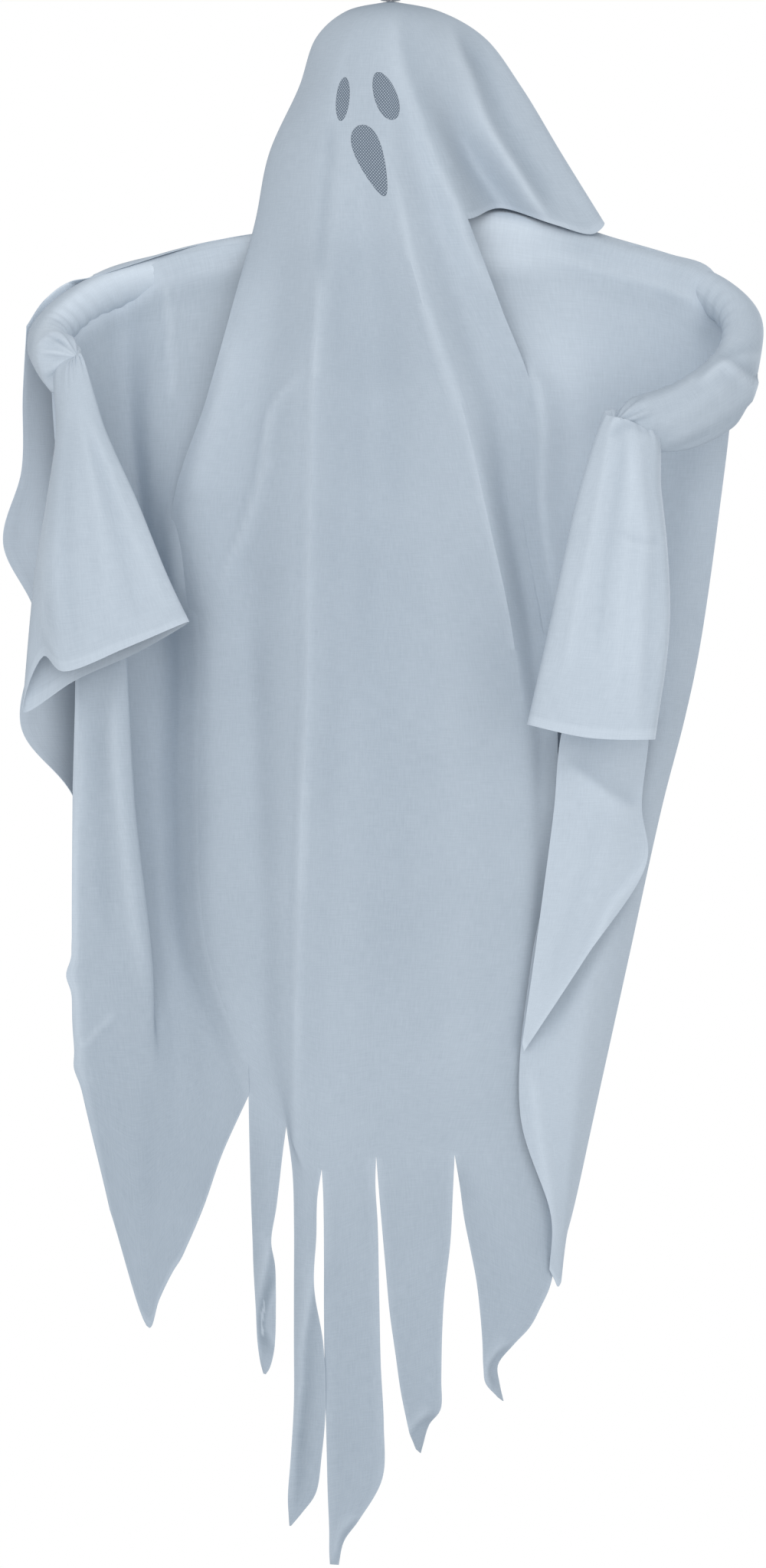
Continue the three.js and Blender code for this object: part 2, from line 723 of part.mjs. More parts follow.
function buildVeil() {
  const sheet = new Sheet();
  const names = Object.keys(HOOD_LINES);
  const hood = names.map(hoodLine);
  const veilNames = Object.keys(VEIL_LINES);
  const whole = names.map((name, i) => {
    const veil = VEIL_LINES[name];
    return veil ? [...hood[i], ...foldLine(VEIL_LEVELS, veil.places, veil.end)] : hood[i];
  });
  const hemIndex = HOOD_DROPS.length;

  // Rows of the hood go all the way round.
  let upper = null;
  for (let i = 0; i <= HOOD_ROWS; i++) {
    const place = (hemIndex * i) / HOOD_ROWS;
    const points = whole.map((line) => onLine(line, place / (line.length - 1)));
    const lower = sheet.row(acrossLines(points, STEPS, true));
    if (upper) sheet.weave(upper, lower, true);
    upper = lower;
  }

  // Rows of the veil run from its left edge to its right edge.
  const veilColumns = (veilNames.length - 1) * STEPS + 1;
  upper = upper.slice(0, veilColumns);
  const veilLines = whole.slice(0, veilNames.length);
  const last = veilLines[0].length - 1;
  for (let i = 1; i <= VEIL_ROWS; i++) {
    const place = hemIndex + ((last - hemIndex) * i) / VEIL_ROWS;
    const points = veilLines.map((line) => onLine(line, place / last));
    const lower = sheet.row(acrossLines(points, STEPS));
    sheet.weave(upper, lower);
    upper = lower;
  }

  for (const strip of STRIPS) {
    let above = upper.slice(strip.from * STEPS, strip.to * STEPS + 1);
    const columns = above.length - 1;
    for (const [leftX, rightX, y, z] of strip.rows) {
      const below = sheet.row(
        above.map((_, k) => {
          const share = k / columns;
          const width = rightX - leftX;
          const bow = STRIP_BOW * width * Math.sin(Math.PI * share);
          return fromHub([leftX + width * share, y - bow, z]);
        }),
      );
      sheet.weave(above, below);
      above = below;
    }
  }
  return solid(sheet.thicken(CLOTH));
}

// Eyes and mouth: openings in the hood, each filled flush with net.

// Places and sizes on the front of the head, with z from its centre
const FACE = {
  left_eye_net: { x: -55, z: -17, width: 16, height: 52, tilt: 2, point: 0 },
  right_eye_net: { x: -6, z: -14, width: 33, height: 56, tilt: 20, point: 0 },
  mouth_net: { x: -22, z: -88, width: 35, height: 82, tilt: 17, point: 0.45 },
};

// An oval, narrowed towards its lower end by `point`, pushed half a head's radius to either side of
// the front of the head.
function faceShape({ x, z, width, height, tilt, point }, inset) {
  const outline = Array.from({ length: ROUND_SIDES }, (_, k) => {
    const angle = (FULL_TURN * k) / ROUND_SIDES;
    const narrowing = 1 - point * Math.max(0, -Math.sin(angle));
    return new THREE.Vector2(
      (width / 2 - inset) * Math.cos(angle) * narrowing,
      (height / 2 - inset) * Math.sin(angle),
    );
  });
  const geometry = new THREE.ExtrudeGeometry(new THREE.Shape(outline), {
    depth: HEAD_RADIUS,
    bevelEnabled: false,
  });
  geometry.rotateZ(THREE.MathUtils.degToRad(tilt));
  geometry.rotateX(Math.PI / 2);
  geometry.translate(x, -HEAD_RADIUS / 2, HEAD_Z + z);
  return solid(geometry);
}

function buildHoodAndFace() {
  let veil = buildVeil();
  for (const [name, shape] of Object.entries(FACE)) {
    addNode(name, geometryOf(largest(veil.intersect(faceShape(shape, GAP)))), "net");
    veil = veil.subtract(faceShape(shape, 0));
  }
  addNode("veil", geometryOf(largest(veil)), "cloth");
}

// Robe. Each panel hangs from fold lines whose tops end inside a sleeve's cloth, and is cut there.
// Heights are from the hub.

const ROBE_LEFT = {
  levels: [-194, -334, -471, -649, -839],
  rows: 12,
  lines: [
    {
      top: [-141, -8, -7],
      places: [[-152, -40], [-156, -42], [-152, -46], [-147, -52], [-151, -56]],
      end: [-164, -60, -987],
    },
    {
      top: [-214, -8, -21],
      places: [[-219, -36], [-221, -40], [-210, -38], [-205, -40], [-200, -52]],
      end: [-194, -62, -1060],
    },
    {
      top: [-272, -8, -35],
      places: [[-277, -34], [-266, -30], [-248, -22], [-245, -26], [-241, -46]],
      end: [-217, -62, -1116],
    },
    {
      top: [-314, -14, -51],
      places: [[-306, -14], [-291, -2], [-273, 0], [-270, -6], [-262, -40]],
      end: [-236, -62, -1161],
    },
    {
      top: [-366, -50, -81],
      places: [[-335, -45], [-314, -46], [-298, -48], [-290, -50], [-272, -58]],
      end: [-253, -64, -1192],
    },
    {
      top: [-378, -58, -107],
      places: [[-352, -72], [-330, -84], [-312, -96], [-301, -98], [-280, -84]],
      end: [-269, -66, -1225],
    },
    {
      top: [-388, -58, -107],
      places: [[-372, -74], [-352, -88], [-338, -102], [-332, -104], [-319, -92]],
      end: [-280, -68, -1257],
    },
    {
      top: [-396, -54, -105],
      places: [[-392, -72], [-380, -82], [-366, -96], [-368, -98], [-369, -86]],
      end: [-326, -72, -1119],
    },
  ],
};
const ROBE_BACK = {
  levels: [-173, -259, -344, -434, -559, -649, -847],
  rows: 11,
  lines: [
    {
      top: [-424, -40, -97],
      places: [
        [-428, -30], [-430, -25], [-453, -20], [-414, -25],
        [-432, -25], [-368, -18], [-372, -8],
      ],
      end: [-318, -5, -1089],
    },
    {
      top: [-410, 10, -63],
      places: [[-404, 25], [-395, 40], [-391, 50], [-378, 50], [-378, 50], [-342, 45], [-332, 35]],
      end: [-278, 20, -1107],
    },
    {
      top: [-350, 36, -23],
      places: [[-342, 52], [-333, 66], [-324, 70], [-315, 70], [-311, 66], [-288, 60], [-270, 50]],
      end: [-234, 36, -1089],
    },
    {
      top: [-189, 16, -7],
      places: [[-189, 48], [-189, 50], [-189, 52], [-189, 50], [-184, 48], [-180, 46], [-171, 42]],
      end: [-157, 34, -959],
    },
    {
      top: [-5, 40, 28],
      places: [[-4, 70], [-4, 84], [-4, 88], [-4, 86], [-4, 80], [-9, 74], [-18, 62]],
      end: [-36, 44, -1029],
    },
    {
      top: [171, 18, -2],
      places: [[171, 48], [171, 50], [166, 52], [162, 50], [153, 48], [144, 46], [117, 42]],
      end: [72, 34, -1034],
    },
    {
      top: [314, 36, -10],
      places: [[306, 60], [302, 70], [293, 72], [284, 70], [266, 64], [248, 60], [211, 50]],
      end: [153, 36, -1119],
    },
    {
      top: [399, 10, -63],
      places: [[388, 22], [376, 26], [366, 26], [350, 24], [328, 20], [304, 16], [262, 8]],
      end: [190, -2, -1149],
    },
  ],
};
const ROBE_RIGHT = {
  levels: [-174, -309, -469, -549, -649, -829, -1009, -1129],
  rows: 12,
  lines: [
    {
      top: [116, -10, -7],
      places: [
        [140, -46], [150, -52], [180, -48], [207, -62],
        [200, -98], [163, -100], [150, -102], [186, -92],
      ],
      end: [184, -84, -1189],
    },
    {
      top: [178, -8, -14],
      places: [
        [196, -32], [200, -32], [214, -32], [226, -48],
        [226, -80], [200, -96], [180, -98], [192, -86],
      ],
      end: [190, -78, -1201],
    },
    {
      top: [256, -10, -25],
      places: [
        [256, -26], [254, -26], [262, -28], [262, -38],
        [256, -60], [222, -84], [200, -90], [198, -78],
      ],
      end: [194, -72, -1209],
    },
    {
      top: [318, -16, -39],
      places: [
        [316, -26], [308, -28], [302, -32], [294, -36],
        [282, -46], [244, -64], [214, -76], [203, -68],
      ],
      end: [197, -66, -1205],
    },
    {
      top: [362, -30, -61],
      places: [
        [364, -28], [350, -28], [334, -30], [324, -32],
        [304, -34], [264, -44], [228, -56], [207, -58],
      ],
      end: [198, -60, -1197],
    },
    {
      top: [398, -18, -81],
      places: [
        [398, -16], [383, -14], [360, -12], [343, -12],
        [317, -14], [277, -22], [237, -34], [210, -44],
      ],
      end: [194, -46, -1184],
    },
  ],
};
const RIGHT_CASCADE = {
  levels: [-574, -652, -715, -826],
  rows: 7,
  lines: [
    {
      top: [212, -60, -529],
      places: [[196, -112], [189, -113], [181, -114], [166, -114]],
      end: [152, -112, -925],
    },
    {
      top: [255, -38, -527],
      places: [[244, -104], [240, -112], [236, -112], [196, -112]],
      end: [153, -112, -930],
    },
    {
      top: [300, -34, -527],
      places: [[299, -74], [291, -72], [297, -72], [226, -100]],
      end: [154, -112, -935],
    },
  ],
};

function panel(shape, thickness = CLOTH) {
  return solid(skin(foldLines(shape), shape.rows, STEPS).thicken(thickness));
}

function buildRobe(leftSleeve, rightSleeve) {
  const robeRight = panel(ROBE_RIGHT).subtract(rightSleeve.upper);
  const back = panel(ROBE_BACK).subtract(leftSleeve.upper).subtract(rightSleeve.upper);
  addNode("robe_left", geometryOf(largest(panel(ROBE_LEFT).subtract(leftSleeve.upper))), "cloth");
  addNode("robe_right", geometryOf(largest(robeRight)), "cloth");
  addNode("robe_back", geometryOf(largest(back)), "cloth");
  const seated = panel(RIGHT_CASCADE).subtract(panel(ROBE_RIGHT, CLOTH + 2 * GAP));
  addNode("right_cascade", geometryOf(largest(seated)), "cloth");
}

// Cuffs: bells that hang from the lower sleeves, each a ring of fold lines. Heights are from the hub.

const LEFT_CUFF = {
  levels: [-219, -299, -389],
  rows: 7,
  lines: [
    {
      top: [-356, -207, -133],
      places: [[-328, -212], [-292, -214], [-255, -212]],
      end: [-231, -206, -440],
    },
    {
      top: [-362, -210, -139],
      places: [[-351, -222], [-333, -226], [-316, -226]],
      end: [-300, -220, -469],
    },
    {
      top: [-370, -208, -145],
      places: [[-372, -216], [-377, -220], [-384, -220]],
      end: [-375, -214, -497],
    },
    {
      top: [-382, -196, -143],
      places: [[-382, -200], [-391, -198], [-401, -194]],
      end: [-398, -188, -479],
    },
    {
      top: [-384, -186, -136],
      places: [[-380, -176], [-392, -168], [-408, -162]],
      end: [-422, -155, -543],
    },
    {
      top: [-374, -182, -129],
      places: [[-355, -172], [-350, -164], [-355, -158]],
      end: [-364, -152, -507],
    },
    {
      top: [-364, -190, -127],
      places: [[-335, -186], [-312, -180], [-296, -176]],
      end: [-290, -170, -474],
    },
  ],
};
const RIGHT_CUFF = {
  levels: [-289, -359, -449],
  rows: 7,
  lines: [
    {
      top: [248, -222, -204],
      places: [[217, -222], [201, -222], [182, -222]],
      end: [157, -216, -558],
    },
    {
      top: [272, -232, -211],
      places: [[262, -238], [256, -242], [250, -242]],
      end: [225, -234, -573],
    },
    {
      top: [297, -222, -221],
      places: [[303, -226], [312, -226], [315, -224]],
      end: [298, -216, -575],
    },
    {
      top: [300, -200, -209],
      places: [[306, -190], [310, -186], [310, -184]],
      end: [296, -178, -573],
    },
    {
      top: [272, -196, -201],
      places: [[262, -182], [256, -178], [250, -177]],
      end: [228, -175, -573],
    },
    {
      top: [250, -204, -197],
      places: [[226, -188], [212, -184], [195, -182]],
      end: [172, -180, -561],
    },
  ],
};

function buildCuff(name, shape, sleeve) {
  const bell = solid(skin(foldLines(shape), shape.rows, STEPS, true).thicken(CLOTH));
  addNode(name, geometryOf(largest(bell.subtract(sleeve.lower))), "cloth");
}

buildHangingEye();
buildHead();
buildRodAndHub();
const leftSleeve = buildSleeves("left", ARMS.left, buildArm("left", ARMS.left));
const rightSleeve = buildSleeves("right", ARMS.right, buildArm("right", ARMS.right));
buildHoodAndFace();
buildRobe(leftSleeve, rightSleeve);
buildCuff("left_cuff", LEFT_CUFF, leftSleeve);
buildCuff("right_cuff", RIGHT_CUFF, rightSleeve);

export default ghost;
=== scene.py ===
import math

import bmesh
import bpy
import numpy as np
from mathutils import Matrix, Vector


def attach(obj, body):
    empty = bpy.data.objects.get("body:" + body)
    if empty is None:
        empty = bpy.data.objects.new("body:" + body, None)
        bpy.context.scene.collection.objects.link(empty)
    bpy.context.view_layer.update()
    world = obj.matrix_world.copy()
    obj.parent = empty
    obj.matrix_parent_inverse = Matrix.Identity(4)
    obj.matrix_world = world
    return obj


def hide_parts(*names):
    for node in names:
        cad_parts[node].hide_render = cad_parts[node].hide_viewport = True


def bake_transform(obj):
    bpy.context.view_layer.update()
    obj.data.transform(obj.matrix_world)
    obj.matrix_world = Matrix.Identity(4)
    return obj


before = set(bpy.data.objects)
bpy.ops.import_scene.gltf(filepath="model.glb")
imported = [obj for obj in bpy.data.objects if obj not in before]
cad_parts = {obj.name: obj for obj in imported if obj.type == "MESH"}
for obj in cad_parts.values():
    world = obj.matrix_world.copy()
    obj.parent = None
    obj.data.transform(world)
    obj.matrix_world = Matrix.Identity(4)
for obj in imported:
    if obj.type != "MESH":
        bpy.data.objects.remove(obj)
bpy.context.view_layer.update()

# Camera, lights and floor
# A long lens ten metres in front of the figure, at the height of its middle, as it was
# photographed. Large soft lamps stand in front and above, and a pale disc lies below.
CAMERA_AT = (-0.009, -10.0, -0.9367)
METRES_PER_PIXEL = 0.000895     # of the photograph, on the plane through the hanging eye
MIDDLE_PIXEL = (500.0, 1023.5)
LENS_MM = 196.5
FLOOR_Z = -2.05
FLOOR_RADIUS = 1.5
FLOOR_PAINT = (0.86, 0.87, 0.88, 1)
SKY = (0.96, 0.98, 1.0, 1)
SKY_STRENGTH = 0.72
LAMPS = [
    # name, place, aimed at, size, watts
    ("front_lamp", (-1.2, -6.0, 0.2), (0, 0, -0.9), 4.0, 135),
    ("side_lamp", (3.6, -4.6, -0.4), (0, 0, -0.9), 3.0, 42),
    ("top_lamp", (0.4, 1.2, 2.6), (0, 0, -0.6), 2.0, 5),
    ("back_lamp", (3.2, 4.6, 0.3), (0, 0, -0.9), 2.4, 120),
]


def add_node(tree, kind, **settings):
    """A shader node with its settings; a setting that names a socket sets that socket."""
    made = tree.nodes.new(kind)
    for key, value in settings.items():
        if hasattr(made, key):
            setattr(made, key, value)
        else:
            made.inputs[key].default_value = value
    return made


def combine(tree, operation, *values):
    """What a Math node makes of sockets and numbers."""
    made = add_node(tree, "ShaderNodeMath", operation=operation)
    for socket, value in zip(made.inputs, values):
        if isinstance(value, float):
            socket.default_value = value
        else:
            tree.links.new(value, socket)
    return made.outputs[0]


def new_material(name, colour, roughness, metallic=0.0):
    """A material with a Principled shader, and its node tree."""
    made = bpy.data.materials.new(name)
    made.use_nodes = True
    shader = made.node_tree.nodes["Principled BSDF"]
    shader.inputs["Base Color"].default_value = colour
    shader.inputs["Roughness"].default_value = roughness
    shader.inputs["Metallic"].default_value = metallic
    return made, made.node_tree


bpy.ops.object.camera_add(location=CAMERA_AT, rotation=(math.pi / 2, 0, 0))
camera = bpy.context.object
camera.name = "camera"
camera.data.lens = LENS_MM
camera.data.clip_end = 100
bpy.context.scene.camera = camera
bpy.context.scene.view_settings.view_transform = "Standard"

for name, place, target, size, watts in LAMPS:
    bpy.ops.object.light_add(type="AREA", location=place)
    lamp = bpy.context.object
    lamp.name = name
    lamp.data.size = size
    lamp.data.energy = watts
    lamp.rotation_euler = (Vector(target) - Vector(place)).to_track_quat("-Z", "Y").to_euler()

# The sky lights the cloth, and is plain white wherever it is seen.
world = bpy.data.worlds.new("studio")
bpy.context.scene.world = world
world.use_nodes = True
tree = world.node_tree
tree.nodes.clear()
sky = add_node(tree, "ShaderNodeBackground", Color=SKY, Strength=SKY_STRENGTH)
white = add_node(tree, "ShaderNodeBackground", Color=(1, 1, 1, 1), Strength=1.0)
rays = add_node(tree, "ShaderNodeLightPath")
seen = combine(tree, "MAXIMUM", rays.outputs["Is Camera Ray"], rays.outputs["Is Glossy Ray"])
seen = combine(tree, "MAXIMUM", seen, rays.outputs["Is Transmission Ray"])
choice = add_node(tree, "ShaderNodeMixShader")
out = add_node(tree, "ShaderNodeOutputWorld")
for source, socket in zip((seen, sky.outputs[0], white.outputs[0]), choice.inputs):
    tree.links.new(source, socket)
tree.links.new(choice.outputs[0], out.inputs["Surface"])

bpy.ops.mesh.primitive_circle_add(
    vertices=96, radius=FLOOR_RADIUS, fill_type="NGON", location=(0, 0, FLOOR_Z))
floor = bpy.context.object
floor.name = "floor"
floor.data.materials.append(new_material("floor_paint", FLOOR_PAINT, 0.9)[0])

# Hanging eye and crown washer
# A screw eye bent from zinc-plated steel wire goes down through a moulded washer and the
# gathered crown of the hood into the rod. Both are CAD parts with their own finishes.
STEEL = (0.74, 0.75, 0.77, 1)
MOULDED = (0.86, 0.87, 0.88, 1)


def colour_and_relief(tree, level, height, colours, strength, depth, ends=(0, 1)):
    """Colours a material by a ramp over a level, and gives it relief by a height."""
    shader = tree.nodes["Principled BSDF"]
    shades = add_node(tree, "ShaderNodeValToRGB")
    for stop, colour, end in zip(shades.color_ramp.elements, colours, ends):
        stop.color = colour
        stop.position = end
    bump = add_node(tree, "ShaderNodeBump", Strength=strength, Distance=depth)
    tree.links.new(level, shades.inputs["Fac"])
    tree.links.new(shades.outputs["Color"], shader.inputs["Base Color"])
    tree.links.new(height, bump.inputs["Height"])
    tree.links.new(bump.outputs["Normal"], shader.inputs["Normal"])


def pattern(tree, kind, coordinates, mapped=None, **settings):
    """The result of a texture on the piece's own coordinates, mapped if need be."""
    place = add_node(tree, "ShaderNodeTexCoord").outputs[coordinates]
    made = add_node(tree, kind, **settings)
    if mapped:
        mapping = add_node(tree, "ShaderNodeMapping", **mapped)
        tree.links.new(place, mapping.inputs["Vector"])
        place = mapping.outputs["Vector"]
    tree.links.new(place, made.inputs["Vector"])
    return made.outputs["Fac"]


def grained(name, colour, roughness, metallic, scale, stretch, depth, tint):
    """A rigid finish with fine grain: it varies the colour a little and roughens the surface."""
    made, tree = new_material(name, colour, roughness, metallic)
    grain = pattern(tree, "ShaderNodeTexNoise", "Object", {"Scale": stretch}, Scale=scale, Detail=6.0)
    shades = [tuple(min(1, c * share) for c in colour[:3]) + (1,) for share in (1 - tint, 1 + tint)]
    colour_and_relief(tree, grain, grain, shades, 0.4, depth, ends=(0.3, 0.7))
    return made


def dress(node, finish):
    """Gives a CAD part its finish."""
    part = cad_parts[node]
    part.data.materials.clear()
    part.data.materials.append(finish)


steel = grained("zinc_plated_steel", STEEL, 0.34, 1.0, 900.0, (1, 1, 0.2), 0.00003, 0.06)
moulded = grained("moulded_plastic", MOULDED, 0.5, 0.0, 1400.0, (1, 1, 1), 0.00003, 0.04)
dress("hang_eye", steel)
dress("crown_washer", moulded)

# Head, rod, collar and hub
# A ball of expanded foam is threaded on a softwood dowel and rests on a moulded collar. The
# dowel ends in a moulded hub, and clamping screws hold the dowel and both arm wires in it.
FOAM = (0.85, 0.85, 0.83, 1)
WOOD = (0.58, 0.40, 0.22, 1)
foam = grained("expanded_foam", FOAM, 0.85, 0.0, 260.0, (1, 1, 1), 0.0006, 0.05)
softwood = grained("softwood", WOOD, 0.6, 0.0, 300.0, (1, 1, 0.06), 0.0002, 0.18)
dress("head_ball", foam)
dress("neck_rod", softwood)
dress("head_collar", moulded)
dress("shoulder_hub", moulded)
for screw in ("collar_screw", "rod_screw", "left_hub_screw", "right_hub_screw"):
    dress(screw, steel)

# Arms: wires, elbow pins, caps and foam
# Each arm is spring steel wire with a knuckle and a pin at the elbow and a blunt moulded cap on
# its tip. Split tubes of closed-cell foam are pushed over it to give it the bulk of an arm.
MM = 0.001              # metres; the sizes of the arms and the cloth are in millimetres
HUB_Z = -311.0
SHOULDER = [(10, 0, 0), (28, 0, 0), (90, 0, 0)]
ARM_PATHS = {
    # name: side, then places from the shoulder to the wrist, with heights from the hub
    "left": (-1, [(-184, 4, -11), (-268, 0, -31), (-327, -10, -49), (-371, -36, -76), (-394, -76, -103),
        (-395, -130, -123), (-381, -188, -131)]),
    "right": (1, [(175, 5, -7), (264, 0, -20), (327, -10, -35), (380, -30, -59), (407, -68, -91),
        (398, -115, -134), (346, -165, -181), (282, -205, -207)]),
}
ELBOW = 7               # the place on the path that the elbow pin goes through
FOAM_RADIUS = 21.2
FOAM_BORE = 3.1
FOAM_SIDES = 40
FOAM_STEP = 6
FOAM_TONE = 0.5
FOAM_START = 18.3       # along the path, where the foam leaves the hub
ELBOW_OPENING = 14.0    # bare wire on either side of the pin
WRIST_REACH = 10.0      # bare wire past the forearm's foam
SEAM_GAP = 4.0          # on the UV map, across a seam


def spline(points, places, closed=False, ends=None):
    """Places on the smooth curve through points, counted in its own points. Points may be whole
    rows or lines of points, which then bend together."""
    points = np.asarray(points, float)
    if closed:
        row = np.concatenate([points[-1:], points, points[:2]])
    else:
        before, after = ends or (2 * points[0] - points[1], 2 * points[-1] - points[-2])
        row = np.concatenate([[before], points, [after]])
    places = np.asarray(places, float)
    first = np.clip(np.floor(places).astype(int), 0, len(row) - 4)
    t = (places - first).reshape(-1, *[1] * (points.ndim - 1))
    p = [row[first + k] for k in range(4)]
    gap = [np.linalg.norm(p[k + 1] - p[k], axis=-1, keepdims=True) for k in range(3)]
    gap = [np.maximum(g, 1e-6) ** 0.5 for g in gap]
    rise = p[2] - p[1]
    into = ((p[1] - p[0]) / gap[0] - (p[2] - p[0]) / (gap[0] + gap[1])) * gap[1] + rise
    away = ((p[3] - p[2]) / gap[2] - (p[3] - p[1]) / (gap[1] + gap[2])) * gap[1] + rise
    return p[1] + into * t + (3 * rise - 2 * into - away) * t**2 + (into + away - 2 * rise) * t**3


def walked(points):
    """The distance along a line to each of its points. Of whole rows of points, it is the mean."""
    steps = np.linalg.norm(np.diff(points, axis=0), axis=-1)
    return np.cumsum([0, *steps.reshape(len(steps), -1).mean(axis=1)])


def arm_walk(name):
    """The arm's path as fine places, with the distance along it of each and of the elbow."""
    side, path = ARM_PATHS[name]
    stations = [(side * x, y, z) for x, y, z in SHOULDER] + path
    counts = np.linspace(0, len(stations) - 1, 1500)
    fine = spline(np.array(stations, float) + (0, 0, HUB_Z), counts)
    along = walked(fine)
    return fine, along, np.interp(ELBOW, counts, along)


def arm_frames(walk, distances):
    """At each distance along the arm: the middle, the way to its side, up, how it bends, and the
    way along it."""
    fine, along = walk[:2]

    def at(far):
        return np.stack([np.interp(far, along, fine[:, k]) for k in range(3)], axis=1)

    distances = np.asarray(distances, float)
    reach = 4.0
    held = np.clip(distances, reach, along[-1] - reach)
    ahead, behind, centre = at(held + reach), at(held - reach), at(held)
    way = (ahead - behind) / np.linalg.norm(ahead - behind, axis=1, keepdims=True)
    side = np.cross(way, (0, 0, 1))
    side /= np.linalg.norm(side, axis=1, keepdims=True)
    bend = (ahead + behind - 2 * centre) / reach**2
    return at(distances), side, np.cross(side, way), bend, way


def outwards(frames, angles):
    """The ways out from the middle of the arm at the angles, which are measured from its side."""
    side, up = frames[1][:, None], frames[2][:, None]
    return side * np.cos(angles)[None, :, None] + up * np.sin(angles)[None, :, None]


def rings(frames, radii, angles):
    """Rows of places round the arm, with a radius for each row and angle."""
    middle = frames[0]
    spread = np.broadcast_to(radii, (len(middle), len(angles)))[..., None]
    return middle[:, None] + outwards(frames, angles) * spread


def mesh_object(name, grids, finish):
    """An object from grids of places in millimetres: (places, closed down, closed across, pale).
    Grids that share places are joined there. Its UV map is in metres of flat cloth, and `pale`
    says how pale each place of the cloth is painted: its own tone, with painted light and
    painted shade added over it."""
    points, faces, flats, tones = [], [], [], []
    for places, closed_down, closed_across, pale in grids:
        rows, columns = places.shape[:2]
        base = sum(len(p) for p in points)
        down, across = walked(places), walked(places.swapaxes(0, 1))
        down, across = np.append(down, down[-1] + SEAM_GAP), np.append(across, across[-1] + SEAM_GAP)
        r, c = np.mgrid[: rows - 1 + closed_down, : columns - 1 + closed_across].reshape(2, -1)
        corners = [(r, c), (r, c + 1), (r + 1, c + 1), (r + 1, c)]
        faces.append(np.stack([base + i % rows * columns + j % columns for i, j in corners], axis=1))
        flats.append(np.stack([np.stack([across[j], -down[i]], axis=1) for i, j in corners], axis=1))
        points.append(places.reshape(-1, 3))
        tones.append(np.broadcast_to(pale, (rows, columns)).reshape(-1))
    mesh = bpy.data.meshes.new(name)
    mesh.from_pydata((np.concatenate(points) * MM).tolist(), [], np.concatenate(faces).tolist())
    layer = mesh.uv_layers.new(name="UVMap")
    layer.data.foreach_set("uv", (np.concatenate(flats).astype(np.float32) * MM).ravel())
    tone = mesh.attributes.new("pale", "FLOAT", "POINT")
    tone.data.foreach_set("value", np.concatenate(tones).astype(np.float32))
    mesh.materials.append(finish)
    made = bpy.data.objects.new(name, mesh)
    bpy.context.collection.objects.link(made)
    loose = bmesh.new()
    loose.from_mesh(mesh)
    bmesh.ops.remove_doubles(loose, verts=loose.verts, dist=2e-6)
    bmesh.ops.recalc_face_normals(loose, faces=loose.faces)
    loose.to_mesh(mesh)
    loose.free()
    mesh.polygons.foreach_set("use_smooth", [True] * len(mesh.polygons))
    return made


def turn(sides):
    """Angles all the way round, in as many steps."""
    return np.linspace(0, 2 * math.pi, sides, endpoint=False)


walks = {name: arm_walk(name) for name in ARM_PATHS}
for name, walk in walks.items():
    for node in (name + "_upper_wire", name + "_forearm_wire", name + "_elbow_pin"):
        dress(node, steel)
    dress(name + "_wire_cap", moulded)
    along, elbow = walk[1:]
    spans = {
        "upper": (FOAM_START, elbow - ELBOW_OPENING, "ghost"),
        "forearm": (elbow + ELBOW_OPENING, along[-1] - WRIST_REACH, name + "_forearm"),
    }
    for part, (start, end, carrier) in spans.items():
        frames = arm_frames(walk, np.linspace(start, end, max(8, int((end - start) / FOAM_STEP))))
        outside = rings(frames, FOAM_RADIUS, turn(FOAM_SIDES))
        inside = rings(frames, FOAM_BORE, turn(FOAM_SIDES))[::-1]
        walls = (np.concatenate([outside, inside]), True, True, FOAM_TONE)
        tube = mesh_object(f"{name}_{part}_foam_tube", [walls], foam)
        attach(tube, carrier)
        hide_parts(f"{name}_{part}_foam")

# Sleeves
# A tube of thin white gauze is drawn over each arm from the shoulder to past the wrist, where
# it is gathered shut on a thread. The right one hangs slack below the forearm.
CLOTH_STEP = 4.6        # between the places of a modelled cloth
CLOTH_THICKNESS = 0.0008
SMOOTH_ANGLE = math.radians(50)
GAUZE_THREADS = 800.0   # to the metre
GAUZE_RELIEF = 0.0003
GAUZE_ROUGHNESS = 0.88
GAUZE_SHINE = 0.18
WEAVE_SHARE = 0.22      # of the tone, that the threads make
CLOUD_SHARE = 0.16      # and that slow unevenness makes
EVEN_SHARE = 0.30       # about what the two come to, and taken off again
SLEEVE_RADIUS = 23.4
SLEEVE_SIDES = 60
MOUTH_STEPS = 12        # from the end of the foam to the gathered mouth
MOUTH_PLEATS = 9
MOUTH_SHARE = 0.07      # of the tube's width, that is left at the mouth
MOUTH_BULGE = 12        # carries the tube on along the arm while it turns in
MOUTH_AT = {"left": (-359.7, -207.0, -447.7), "right": (254.0, -226.0, -528.0)}
SLEEVE_PALE = {"left": 0.59, "right": 0.40}
SLEEVE_FLAT = {"left": (0.150, 0.56), "right": (0.165, 0.68)}
LIT_SIDE = {"left": 0.9, "right": -0.9}     # radians from the top of the arm
LIT_SIDE_LIGHT = 0.16
ELBOW_BEND = 28.0       # on either side of the pin, where a sleeve bends
FADE_SHARE = 0.22       # of the line of a fold, at each end, over which it fades out
LIP_DOWN = (495, 499, 524, 530)     # of the lip at the right elbow, in the photograph
LIP_ACROSS = (962, 976)
LIP_OUT = 4.0
MM_PER_PIXEL = METRES_PER_PIXEL / MM
CAMERA_MM = [place / MM for place in CAMERA_AT]
SAG = {
    # how far the sleeve below the elbow hangs under the foam, at shares of its length
    "left": [(0, 0), (0.35, 2), (0.6, 9), (0.8, 18), (1.0, 24)],
    "right": [(0, 0), (0.08, 20), (0.2, 40), (0.4, 45), (0.6, 38), (0.8, 30), (1.0, 20)],
}
